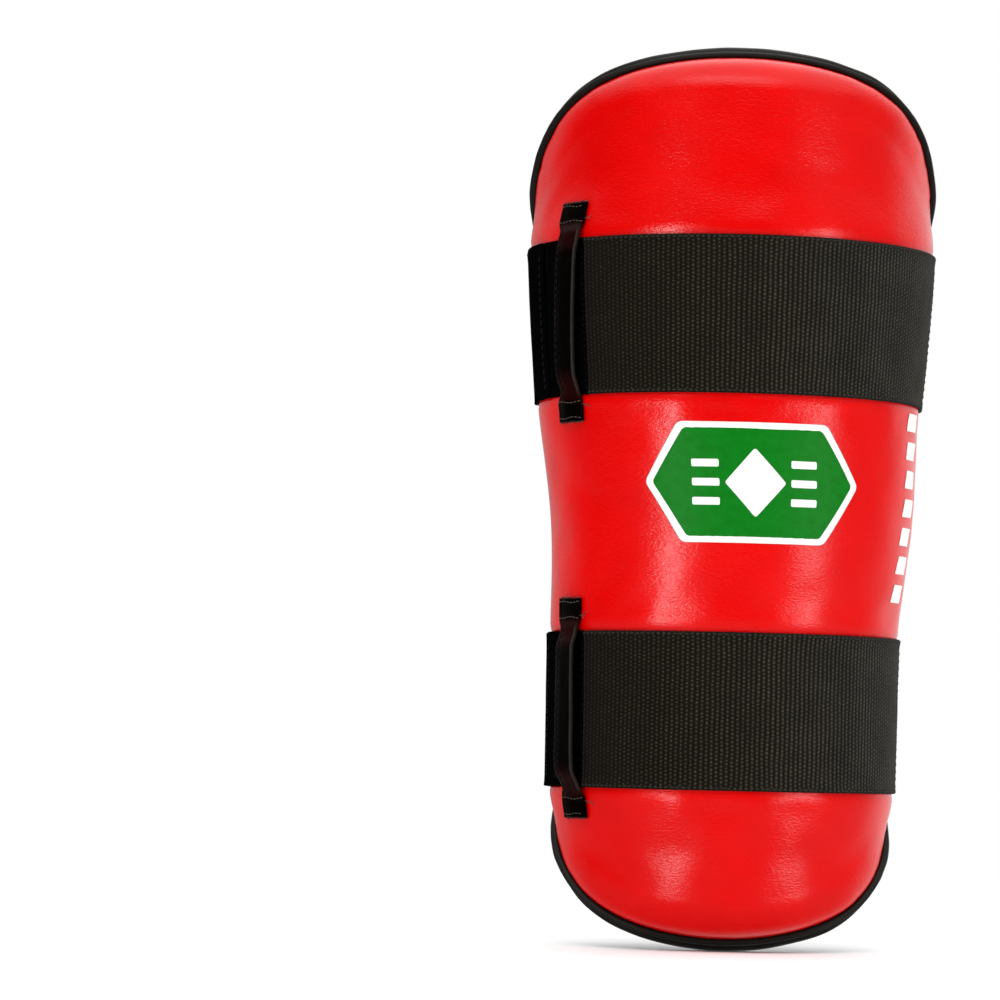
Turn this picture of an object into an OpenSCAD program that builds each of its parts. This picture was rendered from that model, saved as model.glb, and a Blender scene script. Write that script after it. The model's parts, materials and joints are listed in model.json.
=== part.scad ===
// Padded forearm guard, right-hand piece of a mirrored pair.
// The guard stands on its wrist end: Z runs up to the elbow end, the padded face looks to -Y,
// the keeper loops are on the -X side and the arm lies in the channel that opens to +Y.
// Surface coordinates: u is -1 at the left rim and 1 at the right rim, z is the height and
// h is the distance outward from the arm side of the lining. All lengths are millimetres.

/* [Shell] */
// Overall length, from the wrist end to the elbow end
guard_len = 288; // [220:1:360]
// Half of the outer width at the wrist end
wrist_half = 55.8; // [45:0.1:70]
// Half of the outer width at the elbow end
elbow_half = 66.2; // [50:0.1:85]
// Height where the shell begins to widen
taper_lo = 79; // [40:1:120]
// Height where the shell is fully wide
taper_hi = 251; // [160:1:280]
// Depth of the shell as a share of the half width
depth_ratio = 0.98; // [0.7:0.01:1.2]
// Height of the rounded elbow end
elbow_round = 71; // [40:1:100]
// Height of the rounded wrist end
wrist_round = 67; // [40:1:100]
// Squareness of the elbow end, 2 for a half ellipse
elbow_power = 2.12; // [2:0.01:3]
// Squareness of the wrist end, 2 for a half ellipse
wrist_power = 2.02; // [2:0.01:3]
// How far both ends bend back towards the arm
end_lean = 5; // [0:0.5:12]
// Sideways bow of the shell between the two straps
side_bow = 1.6; // [-3:0.1:3]
// Outward flare of the two side rims
flare = 1.2; // [0:0.1:4]
// Outward curl of the rim at the two corners of the elbow end
elbow_curl = 3.5; // [0:0.25:5]
// Outward curl of the rim at the two corners of the wrist end
wrist_curl = 3.75; // [0:0.25:5]
// How far in from the rim the curl reaches
curl_reach = 14; // [10:1:24]
// Share of the impact foam that is taken off at the four corners
corner_thin = 0.7; // [0:0.05:1]

/* [Layers] */
// Thickness of the arm side lining
lining_t = 1; // [0.5:0.1:2]
// Height of the top of the comfort foam above the arm side
back_h = 5.9; // [4:0.1:9]
// Height of the comfort foam where the binding presses on it
pinch_h = 4.95; // [3:0.05:8]
// Impact foam thickness along the middle of the guard
foam_front = 12; // [8:0.5:20]
// Impact foam thickness at the side rims
foam_side = 2.7; // [1:0.1:6]
// Thickness of the outer cover
cover_t = 1; // [0.6:0.1:2]
// Radius of the padded edge along the side rims
side_roll = 3; // [2:0.5:8]
// Radius of the padded edge at the two ends
end_roll = 11; // [5:0.5:16]
// Gap left between two layers
gap = 0.1; // [0.05:0.05:0.3]

/* [Rim] */
// Reach of the rim binding beyond the panel edge
bind_out = 2.6; // [2:0.1:4]
// Thickness of the binding tape
bind_t = 0.85; // [0.5:0.05:1.5]
// Width of the binding on the arm side
bind_back = 8; // [4:0.5:14]
// Radius of the edge piping
pipe_r = 0.95; // [0.6:0.05:1.5]
// Radius of the thread rows
thread_r = 0.3; // [0.2:0.05:0.6]

/* [Straps] */
// Width of the elastic webbing
strap_w = 50; // [38:1:60]
// Thickness of the elastic webbing
elastic_t = 1.5; // [1:0.1:2.5]
// Height of the middle of the upper strap
upper_z = 201; // [170:1:225]
// Height of the middle of the lower strap
lower_z = 76; // [60:1:110]
// Thickness of the loop tape
loop_t = 1.2; // [0.8:0.1:2]
// Side position where the upper elastic meets its loop tape
upper_join = -0.493; // [-0.7:0.001:-0.3]
// Side position where the lower elastic meets its loop tape
lower_join = -0.555; // [-0.7:0.001:-0.3]
// Side position of the rim end of the straps
end_u = 1.045; // [1:0.005:1.05]
// Side position of the two strap fold lines
fold_u = 1.062; // [1.05:0.002:1.08]
// Side position of the free end of the fastening tabs
tab_u = -0.72; // [-0.85:0.01:-0.6]
// Thickness of the fastening tab
tab_t = 0.9; // [0.6:0.1:1.6]
// Thickness of the hook patch
hook_t = 0.5; // [0.3:0.1:1]
// How far the closed straps bow out behind the arm
tail_bow = 18; // [8:1:35]
// Radius of the rolled strap edge on each fold line
fold_r = 0.8; // [0.6:0.05:1.2]

/* [Keepers] */
// Side position of the middle of the upper keeper loop
upper_keeper_u = -0.559; // [-0.7:0.001:-0.4]
// Side position of the middle of the lower keeper loop
lower_keeper_u = -0.615; // [-0.7:0.001:-0.4]
// Change of side position with height along the upper keeper, per millimetre
upper_tilt = 0.0006; // [-0.001:0.00005:0.001]
// Change of side position with height along the lower keeper, per millimetre
lower_tilt = -0.00055; // [-0.001:0.00005:0.001]
// Width of the keeper strip
keeper_w = 10; // [6:0.5:16]
// Width of the sewn keeper feet
foot_w = 12; // [8:0.5:18]
// Length of each sewn foot
foot_len = 7; // [5:0.5:12]
// Thickness of the keeper strip
keeper_t = 1.7; // [1:0.1:3]
// Rise of the upper keeper over its strap
upper_arch = 2.6; // [2:0.1:6]
// Rise of the lower keeper over its strap
lower_arch = 3.6; // [2:0.1:6]

/* [Badge] */
// Side position of the badge
badge_u = 0.05; // [-0.2:0.005:0.2]
// Height of the middle of the badge
badge_z = 148; // [125:1:160]
// Half of the badge width
badge_a = 33; // [20:1:40]
// Half of the badge height
badge_b = 19; // [10:1:24]
// Width of the pale border of the badge
badge_rim = 3; // [1:0.5:6]
// Number of slanted bars on the side
bar_n = 7; // [3:1:9]
// Side position of the slanted bars
bar_u = 0.735; // [0.6:0.005:0.88]

/* [Hidden] */
seg_end = 20;
seg_side = 5;
nt = 2 * (seg_end + seg_side);
pattern_top = guard_len - bind_out;
side_lo = bind_out + wrist_round;
side_hi = pattern_top - elbow_round;
mid_z = guard_len / 2;
base_h = back_h + gap;
cover_lo = gap;
cover_hi = gap + cover_t;
wall_side = base_h + foam_side + cover_hi;
wall_front = base_h + foam_front + cover_hi;
skin_gap = 0.35;
strap_lo = skin_gap;
strap_hi = strap_lo + elastic_t;
loop_hi = strap_lo + loop_t;
hook_lo = loop_hi + gap;
hook_hi = hook_lo + hook_t;
tab_lo = hook_hi + gap;
tab_hi = tab_lo + tab_t;
tab_mid = (tab_lo + tab_hi) / 2;
strap_mid = (strap_lo + strap_hi) / 2;
deep = 13.5;
inner_rings = [0.8, 0.6, 0.4, 0.2];

red = [0.78, 0.02, 0.02];
black = [0.03, 0.03, 0.03];
web = [0.1, 0.1, 0.09];
foam_grey = [0.45, 0.45, 0.48];
foam_pale = [0.75, 0.74, 0.7];
lining_grey = [0.16, 0.16, 0.17];
white = [0.92, 0.92, 0.9];
green = [0.02, 0.35, 0.12];

// The shell surface
function smooth(x) = let(c = min(1, max(0, x))) c * c * (3 - 2 * c);
function half_w(z) = wrist_half
    + (elbow_half - wrist_half) * smooth((z - taper_lo) / (taper_hi - taper_lo));
function bow(z) = let(gap = (upper_z - lower_z - strap_w) / 2, away = (z - (upper_z + lower_z) / 2) / gap)
    side_bow * pow(max(0, 1 - away * away), 2);
function lean(z) = end_lean * pow(2 * z / guard_len - 1, 2);
function in_a(z) = half_w(z) - wall_side - flare;
function in_b(z) = depth_ratio * half_w(z) - wall_front;
function reach(z) = PI / 4 * (in_a(z) + in_b(z));
function foam(u) = foam_side + (foam_front - foam_side) * max(0, cos(90 * u));
// 0 along the straight part of the guard, 1 at its rounded ends
function at_end(z) = z > mid_z ? smooth((z - mid_z - 80) / 24) : smooth((mid_z - z - 90) / 26);
function end_foam(u, z) = let(c = corner_thin * at_end(z))
    foam_side * (1 - 0.6 * c) + (foam_front - foam_side) * pow(max(0, cos(90 * u)), 1 + c);
function power_at(z) = z > mid_z ? elbow_power : wrist_power;
function past_side(z) = z > side_hi ? (z - side_hi) / elbow_round
    : z < side_lo ? (side_lo - z) / wrist_round : 0;
function rim_depth(u, z) = let(p = power_at(z))
    reach(z) * (1 - pow(pow(abs(u), p) + pow(past_side(z), p), 1 / p));
function curl(u, z) = (z > mid_z ? elbow_curl : wrist_curl) * at_end(z)
    * smooth((abs(u) - 0.1) / 0.45) * max(0, 1 - rim_depth(u, z) / curl_reach);
function skin(u) = base_h + foam(u) + cover_hi;
function end_skin(u, z) = base_h + end_foam(u, z) + cover_hi;
function surf(u, z, h) = let(
        a = in_a(z),
        b = in_b(z),
        p = 90 * u,
        nx = b * sin(p),
        ny = -a * cos(p),
        n = norm([nx, ny]),
        out = (h + curl(u, z)) / n)
    [a * sin(p) + flare * sign(u) * pow(abs(u), 6) + out * nx + bow(z),
     lean(z) - b * cos(p) + out * ny,
     z];

// The panel edge: [u, z, inward normal across, inward normal along]
function bent(x, power) = sign(x) * pow(abs(x), power);
function end_edge(a, z0, r) = let(
        p = power_at(z0),
        u = bent(cos(a), 2 / p),
        t = bent(sin(a), 2 / p),
        z = z0 + r * t,
        gs = bent(u, p - 1) / reach(z),
        gz = bent(t, p - 1) / r,
        n = norm([gs, gz]))
    [u, z, gs / n, gz / n];
function edge(i) =
    i < seg_side ? [1, side_lo + (side_hi - side_lo) * i / seg_side, 1, 0]
    : i < seg_side + seg_end ? end_edge(180 * (i - seg_side) / seg_end, side_hi, elbow_round)
    : i < 2 * seg_side + seg_end
        ? [-1, side_hi - (side_hi - side_lo) * (i - seg_side - seg_end) / seg_side, -1, 0]
    : end_edge(180 + 180 * (i - 2 * seg_side - seg_end) / seg_end, side_lo, wrist_round);
function inset(i, d) = let(e = edge(i)) [e[0] - d * e[2] / reach(e[1]), e[1] - d * e[3]];
function roll(i) = let(e = edge(i))
    side_roll + (end_roll - side_roll) * max(cos(90 * e[0]), at_end(e[1]));

// One point of a layer; a ring is [inset, share of the roll, scale, height, foam share]
function ring_point(r, i) = let(
        q = inset(i, r[0] + r[1] * roll(i)),
        u = r[2] * q[0],
        z = mid_z + r[2] * (q[1] - mid_z))
    surf(u, z, r[3] + r[4] * end_foam(u, z));
function middle(r) = surf(0, mid_z, r[3] + r[4] * foam(0));
function flat_rings(h, f) = [for (k = inner_rings) [deep, 0, k, h, f]];
function rising(h, f) = [for (j = [len(inner_rings) - 1:-1:0]) [deep, 0, inner_rings[j], h, f]];

// Triangles between rings of n points; depths says how far in each ring lies, and every
// square is cut from its inner corner i to its outer corner i + 1, so that layers nest
function loop_faces(n, depths, closed) = let(m = len(depths)) [
    for (j = [0:m - (closed ? 1 : 2)], i = [0:n - 1])
        let(a = j * n, b = ((j + 1) % m) * n, k = (i + 1) % n,
            inward = depths[(j + 1) % m] > depths[j])
            each inward ? [[a + i, b + i, a + k], [b + i, b + k, a + k]]
                : [[a + i, b + i, b + k], [a + i, b + k, a + k]]];

// A closed skin over a list of rings with one point in the middle of each side
module bag(rings, n, depths, lo, hi) {
    m = len(rings);
    points = concat([for (r = rings) each r], [lo, hi]);
    faces = concat(
        loop_faces(n, depths, false),
        [for (i = [0:n - 1]) [n * m, i, (i + 1) % n]],
        [for (i = [0:n - 1]) [n * (m - 1) + i, n * m + 1, n * (m - 1) + (i + 1) % n]]);
    polyhedron(points = points, faces = faces, convexity = 8);
}

module layer(rings) {
    m = len(rings);
    bag([for (r = rings) [for (i = [0:nt - 1]) ring_point(r, i)]], nt,
        [for (r = rings) r[0] + r[1] * side_roll + 1000 * (1 - r[2])],
        middle(rings[0]), middle(rings[m - 1]));
}

// A profile of [inset, height] pairs carried around the whole panel edge
module around(profile) {
    points = [for (p = profile, i = [0:nt - 1]) ring_point([p[0], 0, 1, p[1], 0], i)];
    polyhedron(points = points, faces = loop_faces(nt, [for (p = profile) p[0]], true),
        convexity = 8);
}

// A sheet on the cover: columns us, rows zs, heights above the cover, rise and slant per row
module sheet(us, zs, lo, hi, rise = [], slant = 0) {
    c = len(us);
    r = len(zs);
    n = c * r;
    function up(j) = len(rise) > 0 ? rise[j] : 0;
    function shift(j) = slant * (zs[j] - zs[0]) / reach(zs[j]);
    points = [for (h = [lo, hi], j = [0:r - 1], i = [0:c - 1])
        let(u = us[i] + shift(j)) surf(u, zs[j], skin(u) + h + up(j))];
    top = [for (j = [0:r - 2], i = [0:c - 2]) let(a = n + j * c + i)
        each [[a, a + c, a + c + 1], [a, a + c + 1, a + 1]]];
    bottom = [for (j = [0:r - 2], i = [0:c - 2]) let(a = j * c + i)
        each [[a, a + c + 1, a + c], [a, a + 1, a + c + 1]]];
    rim = concat(
        [for (i = [0:c - 1]) i],
        [for (j = [1:r - 1]) j * c + c - 1],
        [for (i = [c - 2:-1:0]) (r - 1) * c + i],
        [for (j = [r - 2:-1:1]) j * c]);
    k = len(rim);
    wall = [for (i = [0:k - 1]) let(a = rim[i], b = rim[(i + 1) % k])
        each [[a, n + b, b], [a, n + a, n + b]]];
    polyhedron(points = points, faces = concat(top, bottom, wall), convexity = 6);
}

// A flat shape laid on the cover around [u, z]; outline is a list of [across, up]
module film(outline, u0, z0, lo, hi, steps = 4) {
    n = len(outline);
    function at(q, k, h) = let(u = u0 + k * q[0] / (reach(z0) + 15), z = z0 + k * q[1])
        surf(u, z, skin(u) + h);
    scales = [for (k = [1:steps]) k / steps];
    rings = concat(
        [for (k = scales) [for (q = outline) at(q, k, lo)]],
        [for (j = [steps - 1:-1:0]) [for (q = outline) at(q, scales[j], hi)]]);
    depths = concat([for (k = scales) -k], [for (j = [steps - 1:-1:0]) -scales[j]]);
    bag(rings, n, depths, at([0, 0], 0, lo), at([0, 0], 0, hi));
}

// Corners joined by straight sides with several points on each side
function sides(c, k) = [for (i = [0:len(c) - 1], j = [0:k - 1])
    c[i] + (c[(i + 1) % len(c)] - c[i]) * j / k];
function hexagon(a, b) = sides([[a, 0], [0.66 * a, b], [-0.66 * a, b],
    [-a, 0], [-0.66 * a, -b], [0.66 * a, -b]], 6);
function rhomb(a, b) = sides([[a, 0], [0, b], [-a, 0], [0, -b]], 4);
function spread(a, b, k) = [for (i = [0:k]) a + (b - a) * i / k];

// Fold lines of a strap: the line through two points of the shell at the strap edges
function fold_at(z, side) = surf(side * fold_u, z,
    skin(1) + (side > 0 ? strap_mid : tab_mid));
function fold_mid(zc, side) = (fold_at(zc - strap_w / 2, side) + fold_at(zc + strap_w / 2, side)) / 2;
function fold_tilt(zc, side) =
    let(d = fold_at(zc + strap_w / 2, side) - fold_at(zc - strap_w / 2, side)) d / norm(d);
function fold_point(zc, side, z) = let(t = fold_tilt(zc, side))
    fold_mid(zc, side) + t * (z - zc) / t[2];

module fold_roll(zc, side) {
    p = fold_mid(zc, side);
    t = fold_tilt(zc, side);
    translate(p)
        rotate([-asin(t[1]), atan2(t[0], t[2]), 0])
            cylinder(r = fold_r, h = strap_w, center = true, $fn = 24);
}

// The elastic behind the arm, from the right fold line to the left one
module tail(zc) {
    k = 22;
    zs = [zc - strap_w / 2, zc, zc + strap_w / 2];
    function line(s, z) = let(
            a = fold_point(zc, 1, z),
            b = fold_point(zc, -1, z))
        [a[0] + (b[0] - a[0]) * s, a[1] + (b[1] - a[1]) * s + 4 * tail_bow * s * (1 - s)];
    function side_point(s, z, t) = let(
            p = line(s, z),
            d = line(s + 0.001, z) - line(s - 0.001, z),
            n = [d[1], -d[0]] / norm(d))
        [p[0] + t * n[0], p[1] + t * n[1], z];
    last = 1 - 1.5 / (2 * fold_at(zc, 1)[0]);
    ss = [for (i = [0:k]) last * i / k];
    n = k + 1;
    points = concat(
        [for (z = zs, s = ss) side_point(s, z, elastic_t / 2)],
        [for (z = [zs[2], zs[1], zs[0]], s = ss) side_point(s, z, -elastic_t / 2)]);
    wall = [for (j = [0:5], i = [0:k - 1]) let(a = j * n + i, b = ((j + 1) % 6) * n + i)
        each [[a, b, b + 1], [a, b + 1, a + 1]]];
    ends = concat(
        [[0, 5 * n, 4 * n], [0, 4 * n, n], [n, 4 * n, 3 * n], [n, 3 * n, 2 * n]],
        [[k, 4 * n + k, 5 * n + k], [k, n + k, 4 * n + k],
         [n + k, 3 * n + k, 4 * n + k], [n + k, 2 * n + k, 3 * n + k]]);
    color(web) {
        polyhedron(points = points, faces = concat(wall, ends), convexity = 6);
        fold_roll(zc, 1);
    }
}

function band(zc) = spread(zc - strap_w / 2, zc + strap_w / 2, 4);

module elastic_front(zc) {
    color(web)
        sheet(spread(join_u(zc) + 0.003, end_u, 36), band(zc), strap_lo, strap_hi);
}

module loop_tape(zc) {
    color(black)
        sheet(spread(-end_u + 0.01, join_u(zc) - 0.003, 14), band(zc), strap_lo, loop_hi);
}

module strap_tab(zc) {
    color(web) {
        sheet(spread(-fold_u, tab_u, 10), band(zc), tab_lo, tab_hi);
        fold_roll(zc, -1);
    }
}

module hook_patch(zc) {
    color(black)
        sheet(spread(-0.98, tab_u - 0.015, 9), spread(zc - strap_w / 2 + 2, zc + strap_w / 2 - 2, 4),
            hook_lo, hook_hi);
}

module tab_stitches(zc) {
    color(foam_grey)
        for (u = [-0.965, tab_u - 0.035])
            sheet([u - 0.004, u + 0.004], spread(zc - strap_w / 2 + 3, zc + strap_w / 2 - 3, 4),
                tab_hi + gap, tab_hi + 0.4);
}

// Lower edge, foot, slope, bridge, slope, foot, upper edge of a keeper
function join_u(zc) = zc == upper_z ? upper_join : lower_join;
function keeper_u(zc, z) = zc == upper_z ? upper_keeper_u + upper_tilt * (z - zc)
    : lower_keeper_u + lower_tilt * (z - zc);

module keeper(zc, arch) {
    half = strap_w / 2 + 3 + foot_len;
    bridge = strap_w / 2 - 4;
    zs = [zc - half, zc - half + foot_len, zc - half + foot_len + 4, zc - bridge, zc - bridge / 3,
          zc + bridge / 3, zc + bridge, zc + half - foot_len - 4, zc + half - foot_len, zc + half];
    rise = [0, 0, 0.75 * arch, 0.97 * arch, arch, arch, 0.97 * arch, 0.75 * arch, 0, 0];
    w = [foot_w, foot_w, keeper_w, keeper_w, keeper_w, keeper_w, keeper_w, keeper_w, foot_w, foot_w];
    function row(j, c) = let(u = keeper_u(zc, zs[j]) + w[j] * (c / 3 - 0.5) / (reach(zs[j]) + 12)) u;
    points = [for (h = [0.35, 0.35 + keeper_t], j = [0:9], c = [0:3])
        let(u = row(j, c)) surf(u, zs[j], end_skin(u, zs[j]) + h + rise[j])];
    top = [for (j = [0:8], i = [0:2]) let(a = 40 + j * 4 + i)
        each [[a, a + 4, a + 5], [a, a + 5, a + 1]]];
    bottom = [for (j = [0:8], i = [0:2]) let(a = j * 4 + i)
        each [[a, a + 5, a + 4], [a, a + 1, a + 5]]];
    rim = concat([0, 1, 2, 3], [for (j = [1:9]) j * 4 + 3], [38, 37, 36], [for (j = [8:-1:1]) j * 4]);
    wall = [for (i = [0:len(rim) - 1]) let(a = rim[i], b = rim[(i + 1) % len(rim)])
        each [[a, 40 + b, b], [a, 40 + a, 40 + b]]];
    color(black)
        polyhedron(points = points, faces = concat(top, bottom, wall), convexity = 6);
}

module keeper_stitches() {
    color(foam_grey)
        for (zc = [upper_z, lower_z], end = [-1, 1], row = [2, 5]) {
            z = zc + end * (strap_w / 2 + 3 + row);
            u = keeper_u(zc, z);
            drop = end_foam(u, z) - foam(u);
            sheet(spread(u - 0.045, u + 0.045, 4), [z - 0.3, z + 0.3],
                keeper_t + 0.5, keeper_t + 0.85, [drop, drop]);
        }
}

module strap_stitches() {
    color(foam_grey)
        for (zc = [upper_z, lower_z]) {
            let(j = join_u(zc)) sheet([j - 0.02, j - 0.007, j + 0.007, j + 0.02],
                spread(zc - strap_w / 2 + 1, zc + strap_w / 2 - 1, 4), strap_hi + gap, strap_hi + 0.4);
            for (u = [0.95, 0.985])
                sheet([u - 0.004, u + 0.004], spread(zc - strap_w / 2 + 2, zc + strap_w / 2 - 2, 4),
                    strap_hi + gap, strap_hi + 0.4);
        }
}

module impact_foam() {
    color(foam_pale)
        layer(concat(
            rising(base_h, 0),
            [[deep, 0, 1, base_h, 0], [6, 0, 1, base_h, 0], [2.4, 0, 1, base_h, 0],
             [2.4, 0.1, 1, base_h, 0.436], [2.4, 0.3, 1, base_h, 0.714],
             [2.4, 0.6, 1, base_h, 0.917], [2.4, 1, 1, base_h, 1]],
            [for (r = flat_rings(base_h, 1)) r]));
}

module outer_cover() {
    lo = base_h + cover_lo;
    hi = base_h + cover_hi;
    color(red)
        layer(concat(
            rising(lo, 1),
            [[2.4, 1, 1, lo, 1], [2.35, 0.6, 1, lo, 0.917], [2.3, 0.3, 1, lo, 0.714],
             [2.3, 0.1, 1, lo, 0.436], [2.3, 0, 1, base_h, 0], [1.3, 0, 1, base_h, 0],
             [1.3, 0.02, 1, hi - 0.2, 0.436], [1.6, 0.25, 1, hi, 0.714],
             [2, 0.58, 1, hi, 0.917], [2.4, 1, 1, hi, 1]],
            flat_rings(hi, 1)));
}

module comfort_foam() {
    lo = lining_t + gap;
    color(foam_grey)
        layer(concat(
            rising(lo, 0),
            [[deep, 0, 1, lo, 0], [bind_back, 0, 1, lo, 0], [4, 0, 1, lo, 0],
             [-1.45, 0, 1, lo, 0], [-1.5, 0, 1, 4.1, 0],
             [-0.9, 0, 1, pinch_h, 0], [4.4, 0, 1, pinch_h, 0], [4.8, 0, 1, back_h, 0],
             [6, 0, 1, back_h, 0], [deep, 0, 1, back_h, 0]],
            flat_rings(back_h, 0)));
}

module arm_lining() {
    color(lining_grey)
        layer(concat(
            rising(0, 0),
            [[deep, 0, 1, 0, 0], [bind_back, 0, 1, 0, 0], [4, 0, 1, 0, 0], [-1, 0, 1, 0, 0],
             [-1.45, 0, 1, lining_t, 0], [4, 0, 1, lining_t, 0],
             [bind_back, 0, 1, lining_t, 0], [deep, 0, 1, lining_t, 0]],
            flat_rings(lining_t, 0)));
}

module rim_binding() {
    out = -bind_out;
    back = -gap;
    front = pinch_h + gap;
    color(black)
        around([[bind_back, back - bind_t], [4, back - bind_t], [-0.4, back - bind_t], [-1.7, -0.6],
            [out + 0.1, 0.6], [out, 2.4], [out + 0.1, 4.4], [-1.7, front + 0.45],
            [-0.4, front + bind_t], [4, front + bind_t], [4, front], [-1, front],
            [-1.65, 4.2], [-1.65, 0.6], [-1.2, back], [4, back], [bind_back, back]]);
}

module edge_piping() {
    color(black)
        around([for (a = [0:45:315]) [0.25 - pipe_r * sin(a), base_h + pipe_r + 0.1 - pipe_r * cos(a)]]);
}

module rim_stitching() {
    h = -gap - bind_t - 0.2 - thread_r;
    color(foam_grey)
        around([for (a = [0:90:270]) [bind_back - 1.5 - thread_r * sin(a), h - thread_r * cos(a)]]);
}

module badge_border() {
    color(white)
        film(hexagon(badge_a, badge_b), badge_u, badge_z, skin_gap, skin_gap + 0.45);
}

module badge_field() {
    color(green)
        film(hexagon(badge_a - badge_rim, badge_b - badge_rim * 0.8), badge_u, badge_z,
            skin_gap + 0.75, skin_gap + 1.1);
}

module badge_motif() {
    lo = skin_gap + 1.4;
    hi = skin_gap + 1.65;
    color(white) {
        film(rhomb(9, 11), badge_u, badge_z, lo, hi, 2);
        for (s = [-1, 1], j = [-1, 0, 1])
            sheet(spread(badge_u + s * 0.165 - 0.045, badge_u + s * 0.165 + 0.045, 3),
                [badge_z + 6 * j - 1.2, badge_z + 6 * j + 1.2], lo, hi);
    }
}

module side_marks() {
    pitch = 9.2;
    color(white)
        for (i = [0:bar_n - 1]) {
            z = badge_z - 5 + pitch * (i - (bar_n - 1) / 2);
            if (z - 4 > lower_z + strap_w / 2 && z + 4 < upper_z - strap_w / 2)
                sheet(spread(bar_u - 0.055, bar_u + 0.04, 4), [z - 2.9, z + 2.9],
                    skin_gap, skin_gap + 0.4, [], 0.25);
        }
}

outer_cover();
impact_foam();
comfort_foam();
arm_lining();
rim_binding();
edge_piping();
rim_stitching();
badge_border();
badge_field();
badge_motif();
side_marks();
elastic_front(upper_z);  // upper_elastic_front
loop_tape(upper_z);  // upper_loop_tape
keeper(upper_z, upper_arch);  // upper_keeper
elastic_front(lower_z);  // lower_elastic_front
loop_tape(lower_z);  // lower_loop_tape
keeper(lower_z, lower_arch);  // lower_keeper
strap_stitches();
keeper_stitches();
tail(upper_z);  // upper_elastic_tail
strap_tab(upper_z);  // upper_strap_tab
hook_patch(upper_z);  // upper_hook_patch
tab_stitches(upper_z);  // upper_tab_stitches
tail(lower_z);  // lower_elastic_tail
strap_tab(lower_z);  // lower_strap_tab
hook_patch(lower_z);  // lower_hook_patch
tab_stitches(lower_z);  // lower_tab_stitches
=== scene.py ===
import json
import math
import random

import bpy
import numpy as np
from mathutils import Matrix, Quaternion, Vector, noise


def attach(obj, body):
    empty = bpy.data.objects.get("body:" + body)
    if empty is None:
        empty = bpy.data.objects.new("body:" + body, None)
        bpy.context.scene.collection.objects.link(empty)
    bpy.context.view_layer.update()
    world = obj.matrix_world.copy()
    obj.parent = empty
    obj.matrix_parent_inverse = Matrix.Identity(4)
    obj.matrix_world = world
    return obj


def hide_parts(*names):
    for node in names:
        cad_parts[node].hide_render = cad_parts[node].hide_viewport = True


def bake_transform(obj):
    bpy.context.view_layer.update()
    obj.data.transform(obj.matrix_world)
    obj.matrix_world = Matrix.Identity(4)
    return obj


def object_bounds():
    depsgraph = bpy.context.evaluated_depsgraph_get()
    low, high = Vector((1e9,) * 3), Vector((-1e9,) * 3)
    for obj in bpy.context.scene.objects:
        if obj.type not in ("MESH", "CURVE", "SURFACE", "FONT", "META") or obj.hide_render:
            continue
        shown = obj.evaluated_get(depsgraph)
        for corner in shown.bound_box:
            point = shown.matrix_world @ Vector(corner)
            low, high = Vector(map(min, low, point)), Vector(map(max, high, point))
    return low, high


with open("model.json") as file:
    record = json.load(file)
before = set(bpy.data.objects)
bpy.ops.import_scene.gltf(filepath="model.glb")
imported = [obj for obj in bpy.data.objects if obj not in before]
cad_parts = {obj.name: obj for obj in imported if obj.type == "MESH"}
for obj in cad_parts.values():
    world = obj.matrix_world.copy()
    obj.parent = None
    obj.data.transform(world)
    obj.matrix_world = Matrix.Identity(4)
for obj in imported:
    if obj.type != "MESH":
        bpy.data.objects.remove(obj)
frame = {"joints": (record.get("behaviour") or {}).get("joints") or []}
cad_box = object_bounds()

# Padded forearm guard. Lengths are in millimetres until a mesh is made, and the guard stands on
# its wrist end: +Z to the elbow end, padded face to -Y, keeper loops at -X.
MM = 0.001

# Shell, as in the CAD model
LENGTH = (cad_box[1].z - cad_box[0].z) / MM
WRIST_HALF, ELBOW_HALF = 55.8, 66.2
TAPER_LO, TAPER_HI = 79, 251
DEPTH_RATIO = 0.98
WRIST_ROUND, ELBOW_ROUND = 67, 71
WRIST_POWER, ELBOW_POWER = 2.02, 2.12
END_LEAN = 5
SIDE_BOW, BOW_Z, BOW_REACH = 1.6, 138.5, 37.5
FLARE = 1.2
BASE_H = 6.0
FOAM_FRONT, FOAM_SIDE = 12, 2.7
COVER_TOP = 1.1
SIDE_ROLL, END_ROLL = 3, 11
BIND_OUT = 2.6
RIM_STITCH, RIM_ROW_IN = 3.2, 6.4
COVER_IN = 1.3
WALL_SIDE = BASE_H + FOAM_SIDE + COVER_TOP
WALL_FRONT = BASE_H + FOAM_FRONT + COVER_TOP
SIDE_LO = BIND_OUT + WRIST_ROUND
SIDE_HI = LENGTH - BIND_OUT - ELBOW_ROUND
MID_Z = LENGTH / 2
ELBOW_CURL, WRIST_CURL, CURL_REACH = 3.5, 3.75, 16
CORNER_THIN = 0.7
# height of the cover's middle above the arm side, for lengths measured along it
OUTER_RISE = 15
# how far from the middle each end starts, and over what length it comes in
ELBOW_START, ELBOW_BLEND = 80, 24
WRIST_START, WRIST_BLEND = 90, 26

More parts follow.
